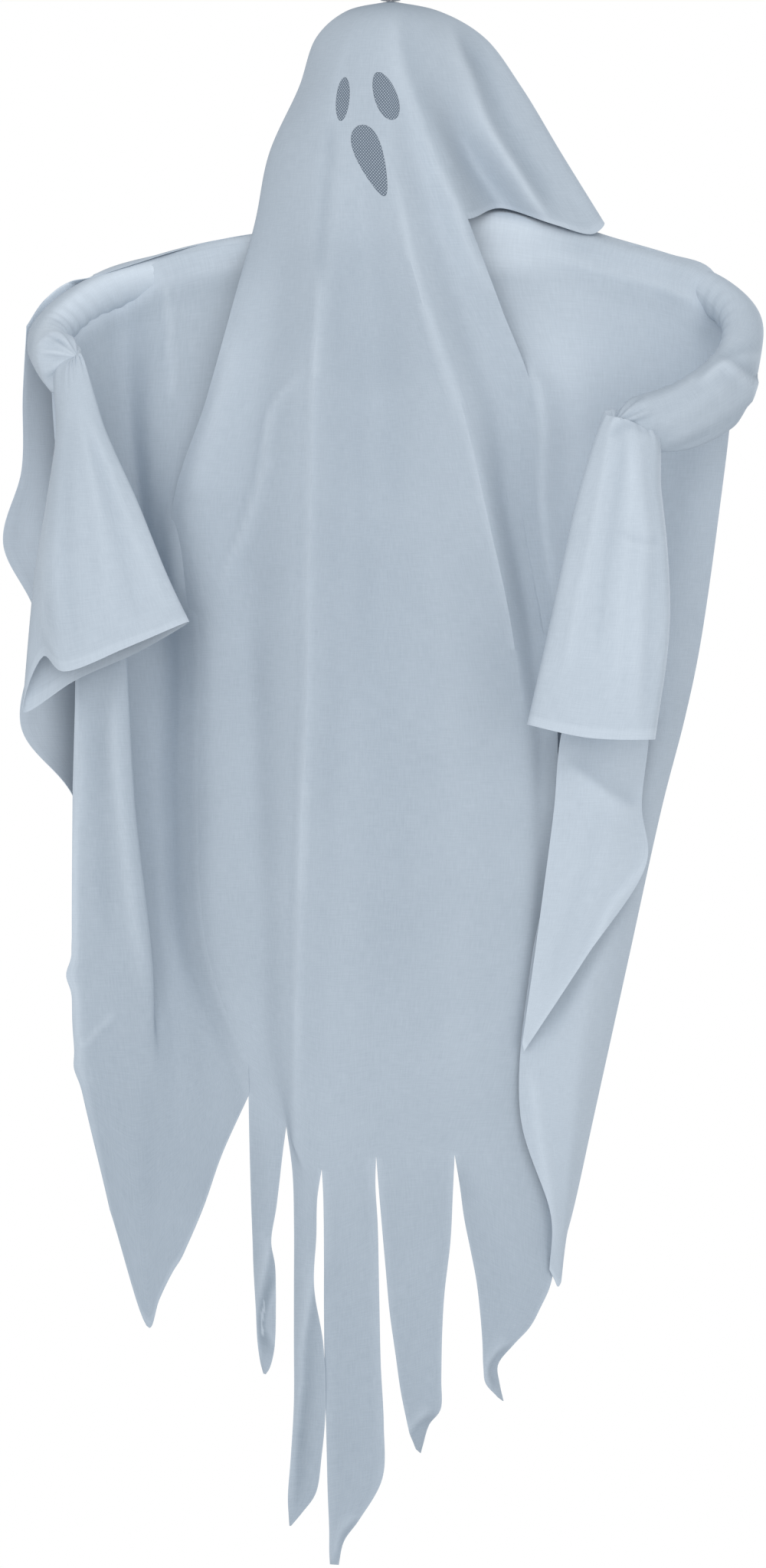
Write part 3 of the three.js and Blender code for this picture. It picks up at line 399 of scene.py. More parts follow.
SLEEVE_FOLDS = {
    # shape, width in pixels, depth, painted light (shade if below nought), run in pixels of the
    # photograph
    "left": [
        ("pleat", 4.5, 1.5, 0.20, [(47, 512), (43, 476), (44, 450), (51, 427), (84, 392), (128, 362),
            (170, 348), (228, 337), (300, 322)]),
        ("crest", 4, 1.5, 0.08, [(98, 466), (84, 446), (70, 434), (56, 430)]),
        ("crest", 4, 1.5, 0.08, [(98, 466), (80, 460), (62, 460), (48, 466)]),
        ("trough", 4, 1.5, -0.12, [(99, 464), (88, 452), (74, 446), (60, 446)]),
        ("trough", 4, 1.5, -0.10, [(99, 470), (84, 478), (70, 488), (60, 500)]),
        ("trough", 5, 1.5, -0.10, [(60, 422), (76, 420), (90, 428), (100, 444)]),
    ],
    "right": [
        ("pleat", 5, 2.0, 0.12, [(800, 536), (840, 522), (880, 506), (916, 478), (944, 446), (954, 416)]),
        ("pleat", 3.5, 3.5, 0.20, [(908, 500), (926, 482), (944, 470), (958, 476), (974, 489),
            (996, 508)]),
        ("pleat", 4, 1.5, 0.10, [(936, 474), (950, 467), (970, 462), (996, 460)]),
        ("crest", 12, 3.0, 0.10, [(962, 500), (930, 516), (890, 540), (850, 560)]),
        ("pleat", 6, 2.0, 0.10, [(984, 520), (950, 540), (912, 566), (870, 584)]),
        ("trough", 6, 2.0, -0.08, [(930, 560), (900, 574), (866, 590)]),
    ],
}


def linear(red, green, blue):
    """A colour seen on a screen, 0 to 255, as the light that a surface sends back."""
    shares = [c / 255 for c in (red, green, blue)]
    return tuple(s / 12.92 if s <= 0.04045 else ((s + 0.055) / 1.055) ** 2.4 for s in shares) + (1.0,)


def gauze(name, shade, light):
    """Fine open-weave cloth: warp and weft with slubs, a little uneven in tone, and as pale as
    the mesh's own `pale` says, painted light and shade included."""
    made, tree = new_material(name, light, GAUZE_ROUGHNESS)
    tree.nodes["Principled BSDF"].inputs["Specular IOR Level"].default_value = GAUZE_SHINE
    slub = GAUZE_THREADS * 0.07
    yarns = [pattern(tree, "ShaderNodeTexNoise", "UV", {"Scale": stretch},
                     Scale=1.0, Detail=2.5, Roughness=0.6)
             for stretch in ((GAUZE_THREADS, slub, 1), (slub, GAUZE_THREADS, 1))]
    cloud = pattern(tree, "ShaderNodeTexNoise", "Object", Scale=7.0, Detail=5.0, Roughness=0.65)
    pale = add_node(tree, "ShaderNodeAttribute", attribute_name="pale").outputs["Fac"]
    weave = combine(tree, "ADD", *yarns)
    level = combine(tree, "MULTIPLY_ADD", weave, WEAVE_SHARE, pale)
    level = combine(tree, "MULTIPLY_ADD", cloud, CLOUD_SHARE, level)
    level = combine(tree, "SUBTRACT", level, EVEN_SHARE)
    colour_and_relief(tree, level, weave, (shade, light), 0.5, GAUZE_RELIEF)
    return made


def finish_cloth(cloth, flat, held, **more):
    """Gives a modelled cloth its thickness, and shades it smooth up to an angle."""
    bpy.ops.object.select_all(action="DESELECT")
    bpy.context.view_layer.objects.active = cloth
    wall = cloth.modifiers.new("wall", "SOLIDIFY")
    wall.thickness = CLOTH_THICKNESS
    wall.offset = 0
    bpy.ops.object.modifier_apply(modifier=wall.name)
    cloth.select_set(True)
    bpy.ops.object.shade_smooth_by_angle(angle=SMOOTH_ANGLE)


def ramp(value, start, end):
    """0 up to start, 1 from end on, and even between them."""
    return np.clip((value - start) / (end - start), 0, 1)


def near(value, middle, width):
    """1 at the middle, and less on either side of it."""
    return np.exp(-(((value - middle) / width) ** 2))


def in_photo(places):
    """Where places in millimetres are seen in the photograph, in its pixels."""
    scale = MM_PER_PIXEL * (1 + places[..., 1] / -CAMERA_MM[1])
    across = MIDDLE_PIXEL[0] + (places[..., 0] - CAMERA_MM[0]) / scale
    return np.stack([across, MIDDLE_PIXEL[1] - (places[..., 2] - CAMERA_MM[2]) / scale], axis=-1)


def traced(seen, run):
    """For places in the photograph: how far right of a drawn line, and at which share of it."""
    line = spline(np.array(run, float), np.linspace(0, len(run) - 1, 8 * len(run)))
    lengths = walked(line)
    best = np.full(seen.shape[:-1], 1e9)
    side, share = np.zeros_like(best), np.zeros_like(best)
    for a, b, start, end in zip(line, line[1:], lengths, lengths[1:]):
        run_on = b - a
        t = np.clip(((seen - a) @ run_on) / (run_on @ run_on), 0, 1)
        gap = seen - a - t[..., None] * run_on
        away = np.linalg.norm(gap, axis=-1)
        nearer = away < best
        best = np.where(nearer, away, best)
        turned = gap[..., 0] * run_on[1] - gap[..., 1] * run_on[0]
        side = np.where(nearer, np.sign(turned), side)
        share = np.where(nearer, (start + t * (end - start)) / lengths[-1], share)
    return best * side, share


def fold(places, pale, folds):
    """Raises crests, sinks troughs and steps pleats in a cloth along lines of the photograph, and
    paints each fold's light into `pale`: painted highlight where it is above nought and painted
    shade where it is below, and across a pleat highlight on one side and shade on the other.
    Each fades out over the ends of its line."""
    seen = in_photo(places)
    for shape, width, depth, light, run in folds:
        offset, share = traced(seen, run)
        fade = np.sin(ramp(np.minimum(share, 1 - share), 0, FADE_SHARE) * math.pi / 2)
        form = near(offset, 0, width)
        if shape == "pleat":
            form = -np.tanh(offset / width) * near(offset, 0, 4 * width)
        places[..., 1] -= (-1 if shape == "trough" else 1) * depth * form * fade
        pale += light * form * fade


def gathered(rim, middle, way, mouth, gathers):
    """The rows by which a sleeve turns in past the foam, down to its gathered mouth."""
    closing = []
    for k in range(1, MOUTH_STEPS + 1):
        t = k / MOUTH_STEPS
        turned = t * math.pi / 2
        reach = np.cos(turned) * (1 - MOUTH_SHARE) + MOUTH_SHARE
        pleat = 1 + 0.12 * gathers * math.sin(math.pi * t)
        centre = middle + (mouth - middle) * t**1.4
        bulge = way * MOUTH_BULGE * math.sin(turned) * (1 - t)
        closing.append(centre + (rim - middle) * (reach * pleat)[:, None] + bulge)
    return closing


cloth_finish = gauze("white_gauze", linear(142, 154, 166), linear(211, 221, 231))
for name, walk in walks.items():
    along, elbow = walk[1:]
    angles = turn(SLEEVE_SIDES)
    shut = along[-1] - WRIST_REACH
    stations = np.linspace(FOAM_START, shut, int((shut - FOAM_START) / CLOTH_STEP))
    frames = arm_frames(walk, stations)
    middle, bend = frames[0], frames[3]
    # It creases on the inside of a bend, and below the elbow it sags.
    squeezed = np.clip((outwards(frames, angles) * bend[:, None]).sum(-1) * 130, 0, 1)
    s, a = stations[:, None], angles[None, :]
    radius = SLEEVE_RADIUS + 0.15 * np.sin(3 * a + s / 24) + 0.1 * np.sin(5 * a - s / 17)
    radius = radius + squeezed * 0.8 * np.sin(s / 3.4 + 1.3 * np.sin(a * 2))
    tube_rows = rings(frames, radius, angles)
    below = np.clip(-np.sin(a), 0, 1) ** 2
    tube_rows[..., 2] -= below * np.interp(ramp(s, elbow, shut), *zip(*SAG[name]))
    gathers = np.sin(MOUTH_PLEATS * angles + 0.6)
    closing = gathered(tube_rows[-1], middle[-1], frames[4][-1], np.array(MOUTH_AT[name]), gathers)
    places = np.concatenate([tube_rows, closing])
    pale = np.full(places.shape[:2], SLEEVE_PALE[name])
    pale[: len(tube_rows)] += LIT_SIDE_LIGHT * near(a - math.pi / 2, LIT_SIDE[name], 1)
    # Painted highlight on the gathers that stand out round the mouth, and painted shade between them.
    pale[-MOUTH_STEPS // 2:] += 0.06 * gathers
    # The photograph's folds go into the side that it shows.
    folded = places.copy()
    fold(folded, pale, SLEEVE_FOLDS[name])
    halfway = np.interp(np.arange(len(places)), np.arange(len(middle)), middle[:, 1])
    ahead = places[..., 1] < halfway[:, None]
    places[ahead] = folded[ahead]
    # The upper end of the right forearm's tube stands out a little at the elbow.
    if name == "right":
        across, down = np.moveaxis(in_photo(places), -1, 0)
        lip = ramp(down, *LIP_DOWN[:2]) * (1 - ramp(down, *LIP_DOWN[2:]))
        places[..., 0] += LIP_OUT * lip * ramp(across, *LIP_ACROSS)
    sleeve = mesh_object(name + "_sleeve", [(places, False, True, pale)], cloth_finish)
    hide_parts(name + "_sleeve_upper", name + "_sleeve_lower")
    finish_cloth(sleeve, flat=SLEEVE_FLAT[name], held="gathered",
                 rests_on=[name + "_upper_foam_tube", name + "_forearm_foam_tube"])
    hinge = arm_frames(walk, [elbow - ELBOW_BEND, elbow + ELBOW_BEND])[0] * MM
    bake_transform(sleeve)

# Hood, veil and strips
# One large piece of gauze is laid over the head, gathered under the washer at the crown. Behind
# it ends in a short hood, and in front it falls as a veil that is slit into strips at the hem.
CROWN_Z = -22.6
CROWN_RADIUS = 2.5      # of the gathered cloth under the washer
HEAD_Z = -122.0
HEAD_REACH = 99.4       # from the middle of the head to the middle of the cloth
VEIL_TONE = 0.46        # how pale the veil is at the head
VEIL_FADE = 0.10        # and how much less so at its hem
STRIP_TONE = 0.25
STRIP_GLOW = 0.11       # what the top of a strip sends back more than its foot
CUTTER_DEPTHS = (-142, -47)     # in y, on both sides of the cloth of the face
CUTTER_SIDES = 72
EDGE_LIGHT = 0.12       # what the turned edge of a cloth sends back more
TORN_EDGE_LIGHT = 0.1   # and the torn edge of a strip
CROWN_SHADE = 0.34      # less light from the gathers under the washer
VEIL_WAVES = (1.6, 1, -330)     # their depth and seed, and the height that they set in at
WAVES_GROW = 250        # how far below that they are full
HOOD_DROPS = [12, 42, 100, 178, 260]
HOOD_LINES = [
    # bearing in degrees and distance past the head's outline, at each drop below the crown; a
    # third number is that line's own drop at the hem
    [[182, 5], [182, 5], [182, 7], [182, 42], [187, 60]],
    [[193, 3], [192, 4], [191, 6], [189, 40], [193, 57]],
    [[215, 0], [210, 0], [211, 4], [207, 27], [208, 41]],
    [[235, 0], [232, 0], [229, 3], [229, 16], [232, 26]],
    [[248, 0], [240, 0], [238, 0], [239, 8], [242, 12]],
    [[258, 0], [250, 0], [248, 0], [248, 3], [252, 0]],
    [[268, 0], [267, 0], [269, 2], [269, 4], [278, 11]],
    [[276, 0], [277, 0], [280, 0], [290, -8], [302, 3]],
    [[283, 0], [284, 0], [285, 4], [304, 6], [314, 29]],
    [[300, 0], [305, 0], [312, 0], [340, -2], [350, 33, 243]],
    [[324, 0], [333, 4], [340, 14], [343, 42], [348, 95, 263]],
    [[342, 4], [346, 14], [350, 34], [352, 76], [355, 137, 273]],
    [[0, 10], [0, 28], [359, 53], [359, 100], [359, 150, 259]],
    [[60, 0], [52, 2], [45, 16], [39, 48], [35, 73]],
    [[102, 0], [100, 2], [99, 2], [100, 2], [101, 12]],
    [[140, 0], [137, 2], [136, 4], [140, 28], [144, 46]],
]
VEIL_LEVELS = [-74, -179, -309, -469, -649, -829]
VEIL_LINES = [
    # the first nine lines run on down the veil, to the tops of the slits
    [[-185, -56], [-214, -62], [-254, -57], [-240, -38], [-242, -38], [-228, -52], [-165, -77, -983]],
    [[-172, -62], [-202, -71], [-236, -70], [-212, -66], [-214, -67], [-206, -72], [-156, -79, -990]],
    [[-137, -72], [-155, -78], [-176, -80], [-163, -80], [-167, -82], [-164, -84], [-121, -86, -1021]],
    [[-80, -112], [-89, -116], [-92, -118], [-96, -116], [-100, -112], [-107, -106], [-110, -98, -1047]],
    [[-50, -98], [-50, -99], [-50, -98], [-52, -96], [-56, -94], [-64, -92], [-80, -94, -1071]],
    [[-22, -92], [-14, -90], [-8, -88], [-2, -86], [0, -88], [-6, -88], [-17, -88, -1056]],
    [[44, -116], [79, -118], [110, -118], [143, -112], [156, -102], [142, -96], [74, -92, -1055]],
    [[86, -90], [122, -88], [138, -88], [166, -90], [176, -92], [172, -86], [142, -82, -1053]],
    [[128, -92], [166, -90], [169, -86], [190, -85], [194, -88], [196, -80], [206, -66, -1049]],
]
STRIPS = [
    # the veil lines it hangs between, then rows in pixels of the photograph: left end, right end,
    # and how far in front of the spine each lies
    (0, 2, [(326, 1500, 369, 1506, 77, 84), (328, 1570, 361, 1575, 75, 82),
        (330, 1622, 354, 1622, 74, 78), (331, 1652, 359, 1652, 70, 80), (334, 1705, 360, 1705, 66, 78),
        (336, 1750, 358, 1762, 66, 72), (340, 1778, 352, 1786, 68, 70), (344, 1793, 347, 1794, 68, 69)]),
    (2, 4, [(382, 1530, 414, 1566, 88, 92), (384, 1600, 413, 1612, 86, 90),
        (384, 1680, 410, 1680, 82, 92), (384, 1755, 422, 1755, 74, 90), (384, 1830, 425, 1838, 68, 86),
        (380, 1900, 420, 1900, 66, 82), (376, 1955, 412, 1950, 68, 76), (377, 1978, 395, 1974, 70, 73),
        (378, 1992, 380, 1992, 71, 72)]),
    (4, 5, [(422, 1560, 490, 1546, 92, 90), (423, 1640, 493, 1600, 91, 88),
        (423, 1710, 495, 1690, 88, 88), (424, 1790, 497, 1780, 86, 86), (426, 1870, 501, 1862, 84, 84),
        (428, 1950, 499, 1930, 80, 84), (430, 2000, 468, 1985, 76, 80), (430, 2025, 449, 2012, 74, 76),
        (431, 2042, 442, 2043, 70, 78)]),
    (5, 6, [(496, 1570, 591, 1560, 90, 88), (503, 1650, 588, 1620, 87, 86),
        (509, 1715, 580, 1690, 84, 85), (516, 1765, 577, 1745, 82, 84), (523, 1815, 576, 1800, 80, 83),
        (530, 1850, 575, 1840, 80, 80), (535, 1872, 560, 1860, 82, 74), (540, 1884, 552, 1886, 86, 72),
        (543, 1892, 549, 1897, 82, 74)]),
    (6, 8, [(600, 1545, 722, 1625, 80, 66), (606, 1590, 722, 1660, 78, 68),
        (614, 1630, 717, 1682, 76, 69), (622, 1672, 706, 1706, 75, 70), (627, 1715, 692, 1732, 74, 71),
        (630, 1755, 670, 1756, 73, 72), (631, 1785, 650, 1782, 76, 70), (634, 1806, 652, 1806, 80, 68),
        (650, 1824, 657, 1829, 76, 70)]),
]
FACE = {
    # places and sizes on the front of the head, from its middle
    "left_eye_net": dict(x=-55.6, z=-21.3, width=15.5, height=51.3, tilt=-5.5, point=0),
    "right_eye_net": dict(x=-6.2, z=-18.8, width=26, height=58.4, tilt=19.5, point=-0.12),
    "mouth_net": dict(x=-22, z=-93.8, width=29.7, height=87.8, tilt=20.3, point=0.43),
}
VEIL_FOLDS = [
    # shape, width in pixels, depth, painted light (shade if below nought), run in pixels of the
    # photograph
    ("crest", 7, 5.0, 0.12, [(418, 300), (414, 400), (409, 520), (404, 700), (400, 900), (395, 1050),
        (390, 1200), (385, 1470)]),
    ("trough", 9, 3.0, -0.12, [(432, 150), (430, 200), (424, 260), (419, 320), (416, 380)]),
    ("crest", 7, 5.0, 0.16, [(508, 215), (520, 255), (541, 355), (577, 465), (613, 573), (640, 690),
        (665, 819), (690, 945)]),
    ("crest", 5, 4.0, 0.13, [(402, 478), (375, 505), (355, 532), (347, 565), (343, 605), (318, 690),
        (280, 777)]),
    ("crest", 4, 3.0, 0.14, [(662, 400), (685, 441), (700, 478), (698, 550), (699, 620), (705, 700),
        (716, 760)]),
    ("pleat", 6, 3.5, 0.16, [(519, 8), (524, 56), (533, 101), (547, 140), (572, 207), (604, 275),
        (618, 322), (650, 380)]),
    ("pleat", 5, 4.0, 0.22, [(586, 24), (600, 60), (616, 95), (642, 163), (681, 226), (714, 280),
        (722, 300)]),
    ("trough", 13, 4.0, -0.10, [(600, 40), (634, 95), (662, 163), (700, 230), (734, 286)]),
    ("trough", 14, 3.0, -0.02, [(560, 90), (590, 160), (625, 235), (660, 270)]),
    ("crest", 26, 3.0, 0.10, [(300, 420), (285, 500), (262, 580), (250, 660)]),
    ("crest", 16, 0.0, 0.02, [(430, 322), (470, 302), (520, 292), (560, 292), (600, 300)]),
    ("trough", 60, 0.0, -0.08, [(440, 290), (470, 400), (500, 520)]),
    ("pleat", 3.5, 2.5, 0.18, [(357, 1606), (354, 1634), (345, 1672), (338, 1706), (337, 1740),
        (342, 1780)]),
    ("pleat", 3, 1.5, -0.14, [(362, 1662), (358, 1678), (350, 1708), (346, 1731), (352, 1746),
        (362, 1768)]),
    ("pleat", 4, 2.5, 0.18, [(417, 1630), (414, 1662), (405, 1709), (397, 1762), (395, 1808), (388, 1870),
        (384, 1926), (381, 1985)]),
    ("pleat", 3, 2.0, 0.14, [(470, 1978), (448, 2000), (441, 2020), (434, 2044)]),
    ("pleat", 3, 3.0, 0.14, [(566, 1842), (544, 1860), (534, 1876), (540, 1892)]),
    ("pleat", 3, 3.0, 0.14, [(668, 1752), (646, 1770), (638, 1788), (644, 1816)]),
    ("trough", 30, 6.0, -0.05, [(470, 420), (490, 620), (500, 900), (505, 1200), (495, 1420)]),
    ("crest", 22, 5.0, 0.03, [(560, 700), (590, 950), (600, 1200), (590, 1450)]),
    ("trough", 16, 4.0, -0.03, [(330, 800), (335, 1000), (345, 1200), (350, 1400)]),
]


def from_photo(across, down, forward):
    """The place in millimetres that is seen at a pixel, `forward` of the spine."""
    scale = MM_PER_PIXEL * (1 - forward / -CAMERA_MM[1])
    x = CAMERA_MM[0] + (across - MIDDLE_PIXEL[0]) * scale
    return np.array([x, -forward, CAMERA_MM[2] - (down - MIDDLE_PIXEL[1]) * scale])


def marks(lines, closed=False):
    """Places along lines of points that lie about a step of the cloth apart."""
    ahead = np.roll(lines, -1, axis=0) if closed else lines[1:]
    gaps = np.linalg.norm(ahead - lines[: len(ahead)], axis=-1).reshape(len(ahead), -1).mean(axis=1)
    counts = np.maximum(1, np.ceil(gaps / CLOTH_STEP)).astype(int)
    spread = [i + k / n for i, n in enumerate(counts) for k in range(n)]
    return np.array(spread if closed else spread + [len(counts)])


def fold_lines(levels, lines):
    """Whole fold lines in millimetres. Heights are given from the hub, by the levels between a
    line's ends, or by a place's own third number."""
    levels = [None] * (len(lines[0]) - len(levels) - 1) + levels + [None]
    runs = [[(*place, level)[:3] for place, level in zip(line, levels)] for line in lines]
    return np.array(runs, float) + (0, 0, HUB_Z)


def ruffle(places, depth, seed, top):
    """Slow, irregular waves over a hanging cloth, which set in below the height `top`."""
    x, z = places[..., 0] + seed * 37, places[..., 2] + seed * 91
    waves = np.sin(x / 21 + 1.3 * np.sin(z / 160)) * np.sin(z / 210 + x / 90)
    waves += 0.7 * np.sin(x / 12.5 - z / 95 + 2 * np.sin(z / 230)) * np.sin(z / 130 + seed)
    places[..., 1] += depth * waves * ramp(places[..., 2], top, top - WAVES_GROW)


def hem(pale, side="foot", rows=2, light=EDGE_LIGHT):
    """The turned or doubled edge of a cloth sends back more light."""
    from_edge = {"foot": pale[::-1], "left": pale.T, "right": pale.T[::-1]}
    from_edge[side][:rows] += light


def veil_tone(height):
    """How pale the veil is at a height."""
    return VEIL_TONE - VEIL_FADE * ramp(height, -250, -1150)


def hood_line(bearings):
    """A fold line of the hood from the crown to its hem."""
    places = []
    for (bearing, out, *own), drop in zip([[bearings[0][0], CROWN_RADIUS]] + bearings, [0] + HOOD_DROPS):
        drop = own[0] if own else drop
        over = min(drop, HEAD_REACH)
        reach = out + math.sqrt(over * (2 * HEAD_REACH - over))
        turned = math.radians(bearing)
        places.append((reach * math.cos(turned), reach * math.sin(turned), CROWN_Z - drop))
    return places


def strip_grid(above, rows):
    """A hanging strip from the row of places above it down through the rows of the table."""
    columns = np.linspace(0, 1, len(above))
    stations = [above]
    for left, left_down, right, right_down, left_out, right_out in rows:
        a = from_photo(left, left_down, left_out)
        b = from_photo(right, right_down, right_out)
        row = a + (b - a) * columns[:, None]
        row[:, 1] -= np.sin(math.pi * columns) * np.linalg.norm(b - a) / 11
        stations.append(row)
    stations = np.array(stations)
    return spline(stations, marks(stations))


def face_prism(name, x, z, width, height, tilt, point, inset):
    """An oval, narrowed towards its lower end, pushed through the front of the hood."""
    angles = turn(CUTTER_SIDES)
    a = (width / 2 - inset) * np.cos(angles) * np.exp(point * np.sin(angles))
    b = (height / 2 - inset) * np.sin(angles)
    t = math.radians(tilt)
    across = x + a * math.cos(t) - b * math.sin(t)
    up = HEAD_Z + z + a * math.sin(t) + b * math.cos(t)
    points = [(p * MM, y * MM, q * MM) for y in CUTTER_DEPTHS for p, q in zip(across, up)]
    count = len(angles)
    sides = [(i, i + count, (i + 1) % count + count, (i + 1) % count) for i in range(count)]
    mesh = bpy.data.meshes.new(name)
    mesh.from_pydata(points, [], [tuple(range(count)), tuple(range(count, 2 * count))[::-1]] + sides)
    prism = bpy.data.objects.new(name, mesh)
    bpy.context.collection.objects.link(prism)
    return prism


def cut(cloth, prism, operation):
    """Cuts a cloth with a prism, which is then thrown away."""
    knife = cloth.modifiers.new("cut", "BOOLEAN")
    knife.operation = operation
    knife.solver = "EXACT"
    knife.object = prism
    bpy.ops.object.select_all(action="DESELECT")
    bpy.context.view_layer.objects.active = cloth
    bpy.ops.object.modifier_apply(modifier=knife.name)
    bpy.data.objects.remove(prism, do_unlink=True)
    pale = cloth.data.attributes["pale"].data
    tones = np.zeros(len(pale), np.float32)
    pale.foreach_get("value", tones)
    tones[tones < 0.02] = VEIL_TONE     # the cut edge is as pale as the cloth round it
    pale.foreach_set("value", tones)
    cloth.select_set(True)
    bpy.ops.object.shade_smooth_by_angle(angle=SMOOTH_ANGLE)


def hang(name, grids, body, **sheet):
    """Makes a cloth of white gauze that takes the place of its CAD solid and moves with a body."""
    cloth = mesh_object(name + "_cloth", grids, cloth_finish)
    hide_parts(name)
    finish_cloth(cloth, **sheet)
    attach(cloth, body)
    return cloth


# The hood goes all round the head. Its first lines run on into the veil.
hood_lines = np.array([hood_line(line) for line in HOOD_LINES])
veil_lines = np.concatenate([hood_lines[: len(VEIL_LINES)], fold_lines(VEIL_LEVELS, VEIL_LINES)], axis=1)
down_hood = marks(hood_lines.swapaxes(0, 1))
ring_lines = [spline(line, down_hood) for line in (*veil_lines, *hood_lines[len(veil_lines):])]
ring_lines = np.array(ring_lines)
across_hood = marks(ring_lines[:, -len(ring_lines[0]) // 3:], closed=True)
hood_grid = spline(ring_lines, across_hood, closed=True).swapaxes(0, 1)

# At the hood's hem the veil's outer lines turn towards the hood's next lines. That wears off
# further down.
down_veil = marks(veil_lines.swapaxes(0, 1))
down_veil = down_veil[down_veil >= len(HOOD_DROPS)]
falls = np.array([spline(line, down_veil) for line in veil_lines])
slack = near(down_veil, len(HOOD_DROPS), 0.5)[:, None]
beyond = []
for outer, inner, beside in ((0, 1, -1), (-1, -2, len(veil_lines))):
    straight = 2 * falls[outer] - falls[inner]
    turned_in = falls[outer] + hood_lines[beside][-1] - falls[outer][0]
    beyond.append(straight * (1 - slack) + turned_in * slack)
across_veil = across_hood[across_hood <= len(veil_lines) - 1]
veil_grid = spline(falls, across_veil, ends=tuple(beyond)).swapaxes(0, 1)

veil_grids = [(places, veil_tone(places[..., 2])) for places in (hood_grid, veil_grid)]
for first, last, rows in STRIPS:
    strip = strip_grid(veil_grid[-1][(across_veil >= first) & (across_veil <= last)], rows)
    tone = STRIP_TONE + STRIP_GLOW * np.exp(-np.arange(len(strip)) / 22)
    veil_grids.append((strip, np.repeat(tone[:, None], strip.shape[1], axis=1)))
for places, pale in veil_grids:
    ruffle(places, *VEIL_WAVES)
    fold(places, pale, VEIL_FOLDS)
hood_pale = veil_grids[0][1]
hem(hood_pale[:, len(across_veil):])
hood_pale -= CROWN_SHADE * near(hood_grid[..., 2], CROWN_Z, 16)
for places, pale in veil_grids[2:]:
    hem(pale, "left", 1, TORN_EDGE_LIGHT)
    hem(pale, "right", 1, TORN_EDGE_LIGHT)
closed_across = [True] + [False] * (len(veil_grids) - 1)
veil = hang("veil", [(p, False, c, t) for (p, t), c in zip(veil_grids, closed_across)], "ghost",
            flat=(0.62, 2.12), held="draped", rests_on=["head_ball"], area=0.79)
for name, shape in FACE.items():
    cut(veil, face_prism(name + "_cutter", inset=0, **shape), "DIFFERENCE")

# Eyes and mouth
# Three patches of grey knitted mesh fill the openings of the face flush with the gauze. They are
# glued in behind their edges, so each lies 0.15 mm inside its opening.
KNIT_PITCH = 0.0026
KNIT_TURNS = (0.8, -0.7)        # of its two sets of yarns, in radians
NET_INSET = 0.15
NET_TONE = 0.5
NET_FLAT = {"left_eye_net": (0.0155, 0.051), "right_eye_net": (0.026, 0.058), "mouth_net": (0.032, 0.087)}
OVAL_SHARE = 0.72               # of the rectangle round it
FACE_TOP = -95                  # the nets come out of the hood's cloth below this height


def knitted(name, ground, yarn):
    """Grey diagonal knit: two crossing sets of light yarns over a darker ground."""
    made, tree = new_material(name, ground, 0.9)
    strands = [pattern(tree, "ShaderNodeTexWave", "UV", {"Rotation": (0, 0, turned)},
                       Scale=0.314 / KNIT_PITCH, Distortion=1.2, Detail=2.0) for turned in KNIT_TURNS]
    knit = combine(tree, "MULTIPLY", *strands)
    colour_and_relief(tree, knit, knit, (ground, yarn), 0.5, 0.0004)
    return made


knit_finish = knitted("grey_mesh", linear(92, 104, 118), linear(186, 197, 208))
patch = hood_grid[hood_grid[:, :, 2].mean(axis=1) < FACE_TOP][:, across_hood <= len(veil_lines) - 0.5]
for name, shape in FACE.items():
    net = mesh_object(name.replace("net", "mesh"), [(patch, False, False, NET_TONE)], knit_finish)
    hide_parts(name)
    finish_cloth(net, flat=NET_FLAT[name], held="stretched", rests_on=["veil_cloth"],
                 area=OVAL_SHARE * math.prod(NET_FLAT[name]))
    cut(net, face_prism(name + "_cutter", inset=NET_INSET, **shape), "INTERSECT")
    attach(net, "ghost")

# Back of the robe
# The widest panel hangs behind everything from both sleeves, where it is stitched on, and falls
# in broad folds to a hem that was cut to long points.
SHOULDER_END = 345              # how far out the panel lies over the upper arms
SHOULDER_ROWS = 16              # of the panel, from its edge down past the sleeves
BACK_ANGLES = (10, -60, -104)   # over the sleeve, in degrees from its top towards the front
BACK_LIFT = (0.7, 2.6, 2.6)     # off the sleeve at these angles
HUB_LIFT = 5                    # more than that at the hub
BACK_FOLD_DEPTH = 5.5
BACK_TONE = 0.30
FLAP_LIGHT = 0.56               # painted light on the flap outside the left arm, for light that comes through the gauze there
SHOULDERS_LIGHT = 0.2           # painted light at the top edge, which lies in shade behind the sleeves, fading down its rows
LEFT_SHOULDER_LIGHT = 0.1       # and more painted light again on the left
# The heights of the places between the ends of each fold line, then the lines from left to
# right: x and y of each place, and its own height at the ends.
BACK_LEVELS = [-173, -259, -344, -434, -559, -649, -847]
BACK_LINES = [
    [(-424, -40, -97), (-429, -22), (-431, -10), (-453, 0), (-414, 4), (-432, 4), (-368, 6), (-372, 8),
        (-318, 4, -1089)],
    [(-404, -24, -66), (-394, 6), (-384, 20), (-380, 28), (-366, 32), (-366, 34), (-334, 34), (-326, 30),
        (-278, 20, -1107)],
    [(-376, -10, -44), (-367, 26), (-362, 44), (-355, 49), (-343, 52), (-341, 50), (-312, 47), (-294, 40),
        (-257, 29, -1098)],
    [(-342, 24, -40), (-338, 46), (-333, 62), (-324, 68), (-315, 68), (-311, 64), (-288, 58), (-270, 48),
        (-234, 36, -1089)],
    [(-189, 16, -7), (-189, 44), (-189, 50), (-189, 52), (-189, 50), (-184, 48), (-180, 46), (-171, 42),
        (-157, 34, -959)],
    [(-20, 16, 0), (-4, 60), (-4, 78), (-4, 84), (-4, 84), (-4, 80), (-9, 74), (-18, 62),
        (-36, 44, -1029)],
    [(171, 18, -2), (171, 46), (171, 50), (166, 52), (162, 50), (153, 48), (144, 46), (117, 42),
        (72, 34, -1034)],
    [(310, 26, -30), (304, 54), (300, 66), (292, 68), (283, 66), (266, 60), (248, 54), (211, 42),
        (153, 28, -1119)],
    [(396, -4, -72), (392, -4), (384, -3), (374, -3), (360, -4), (333, -6), (309, -10), (264, -18),
        (190, -40, -1150)],
]


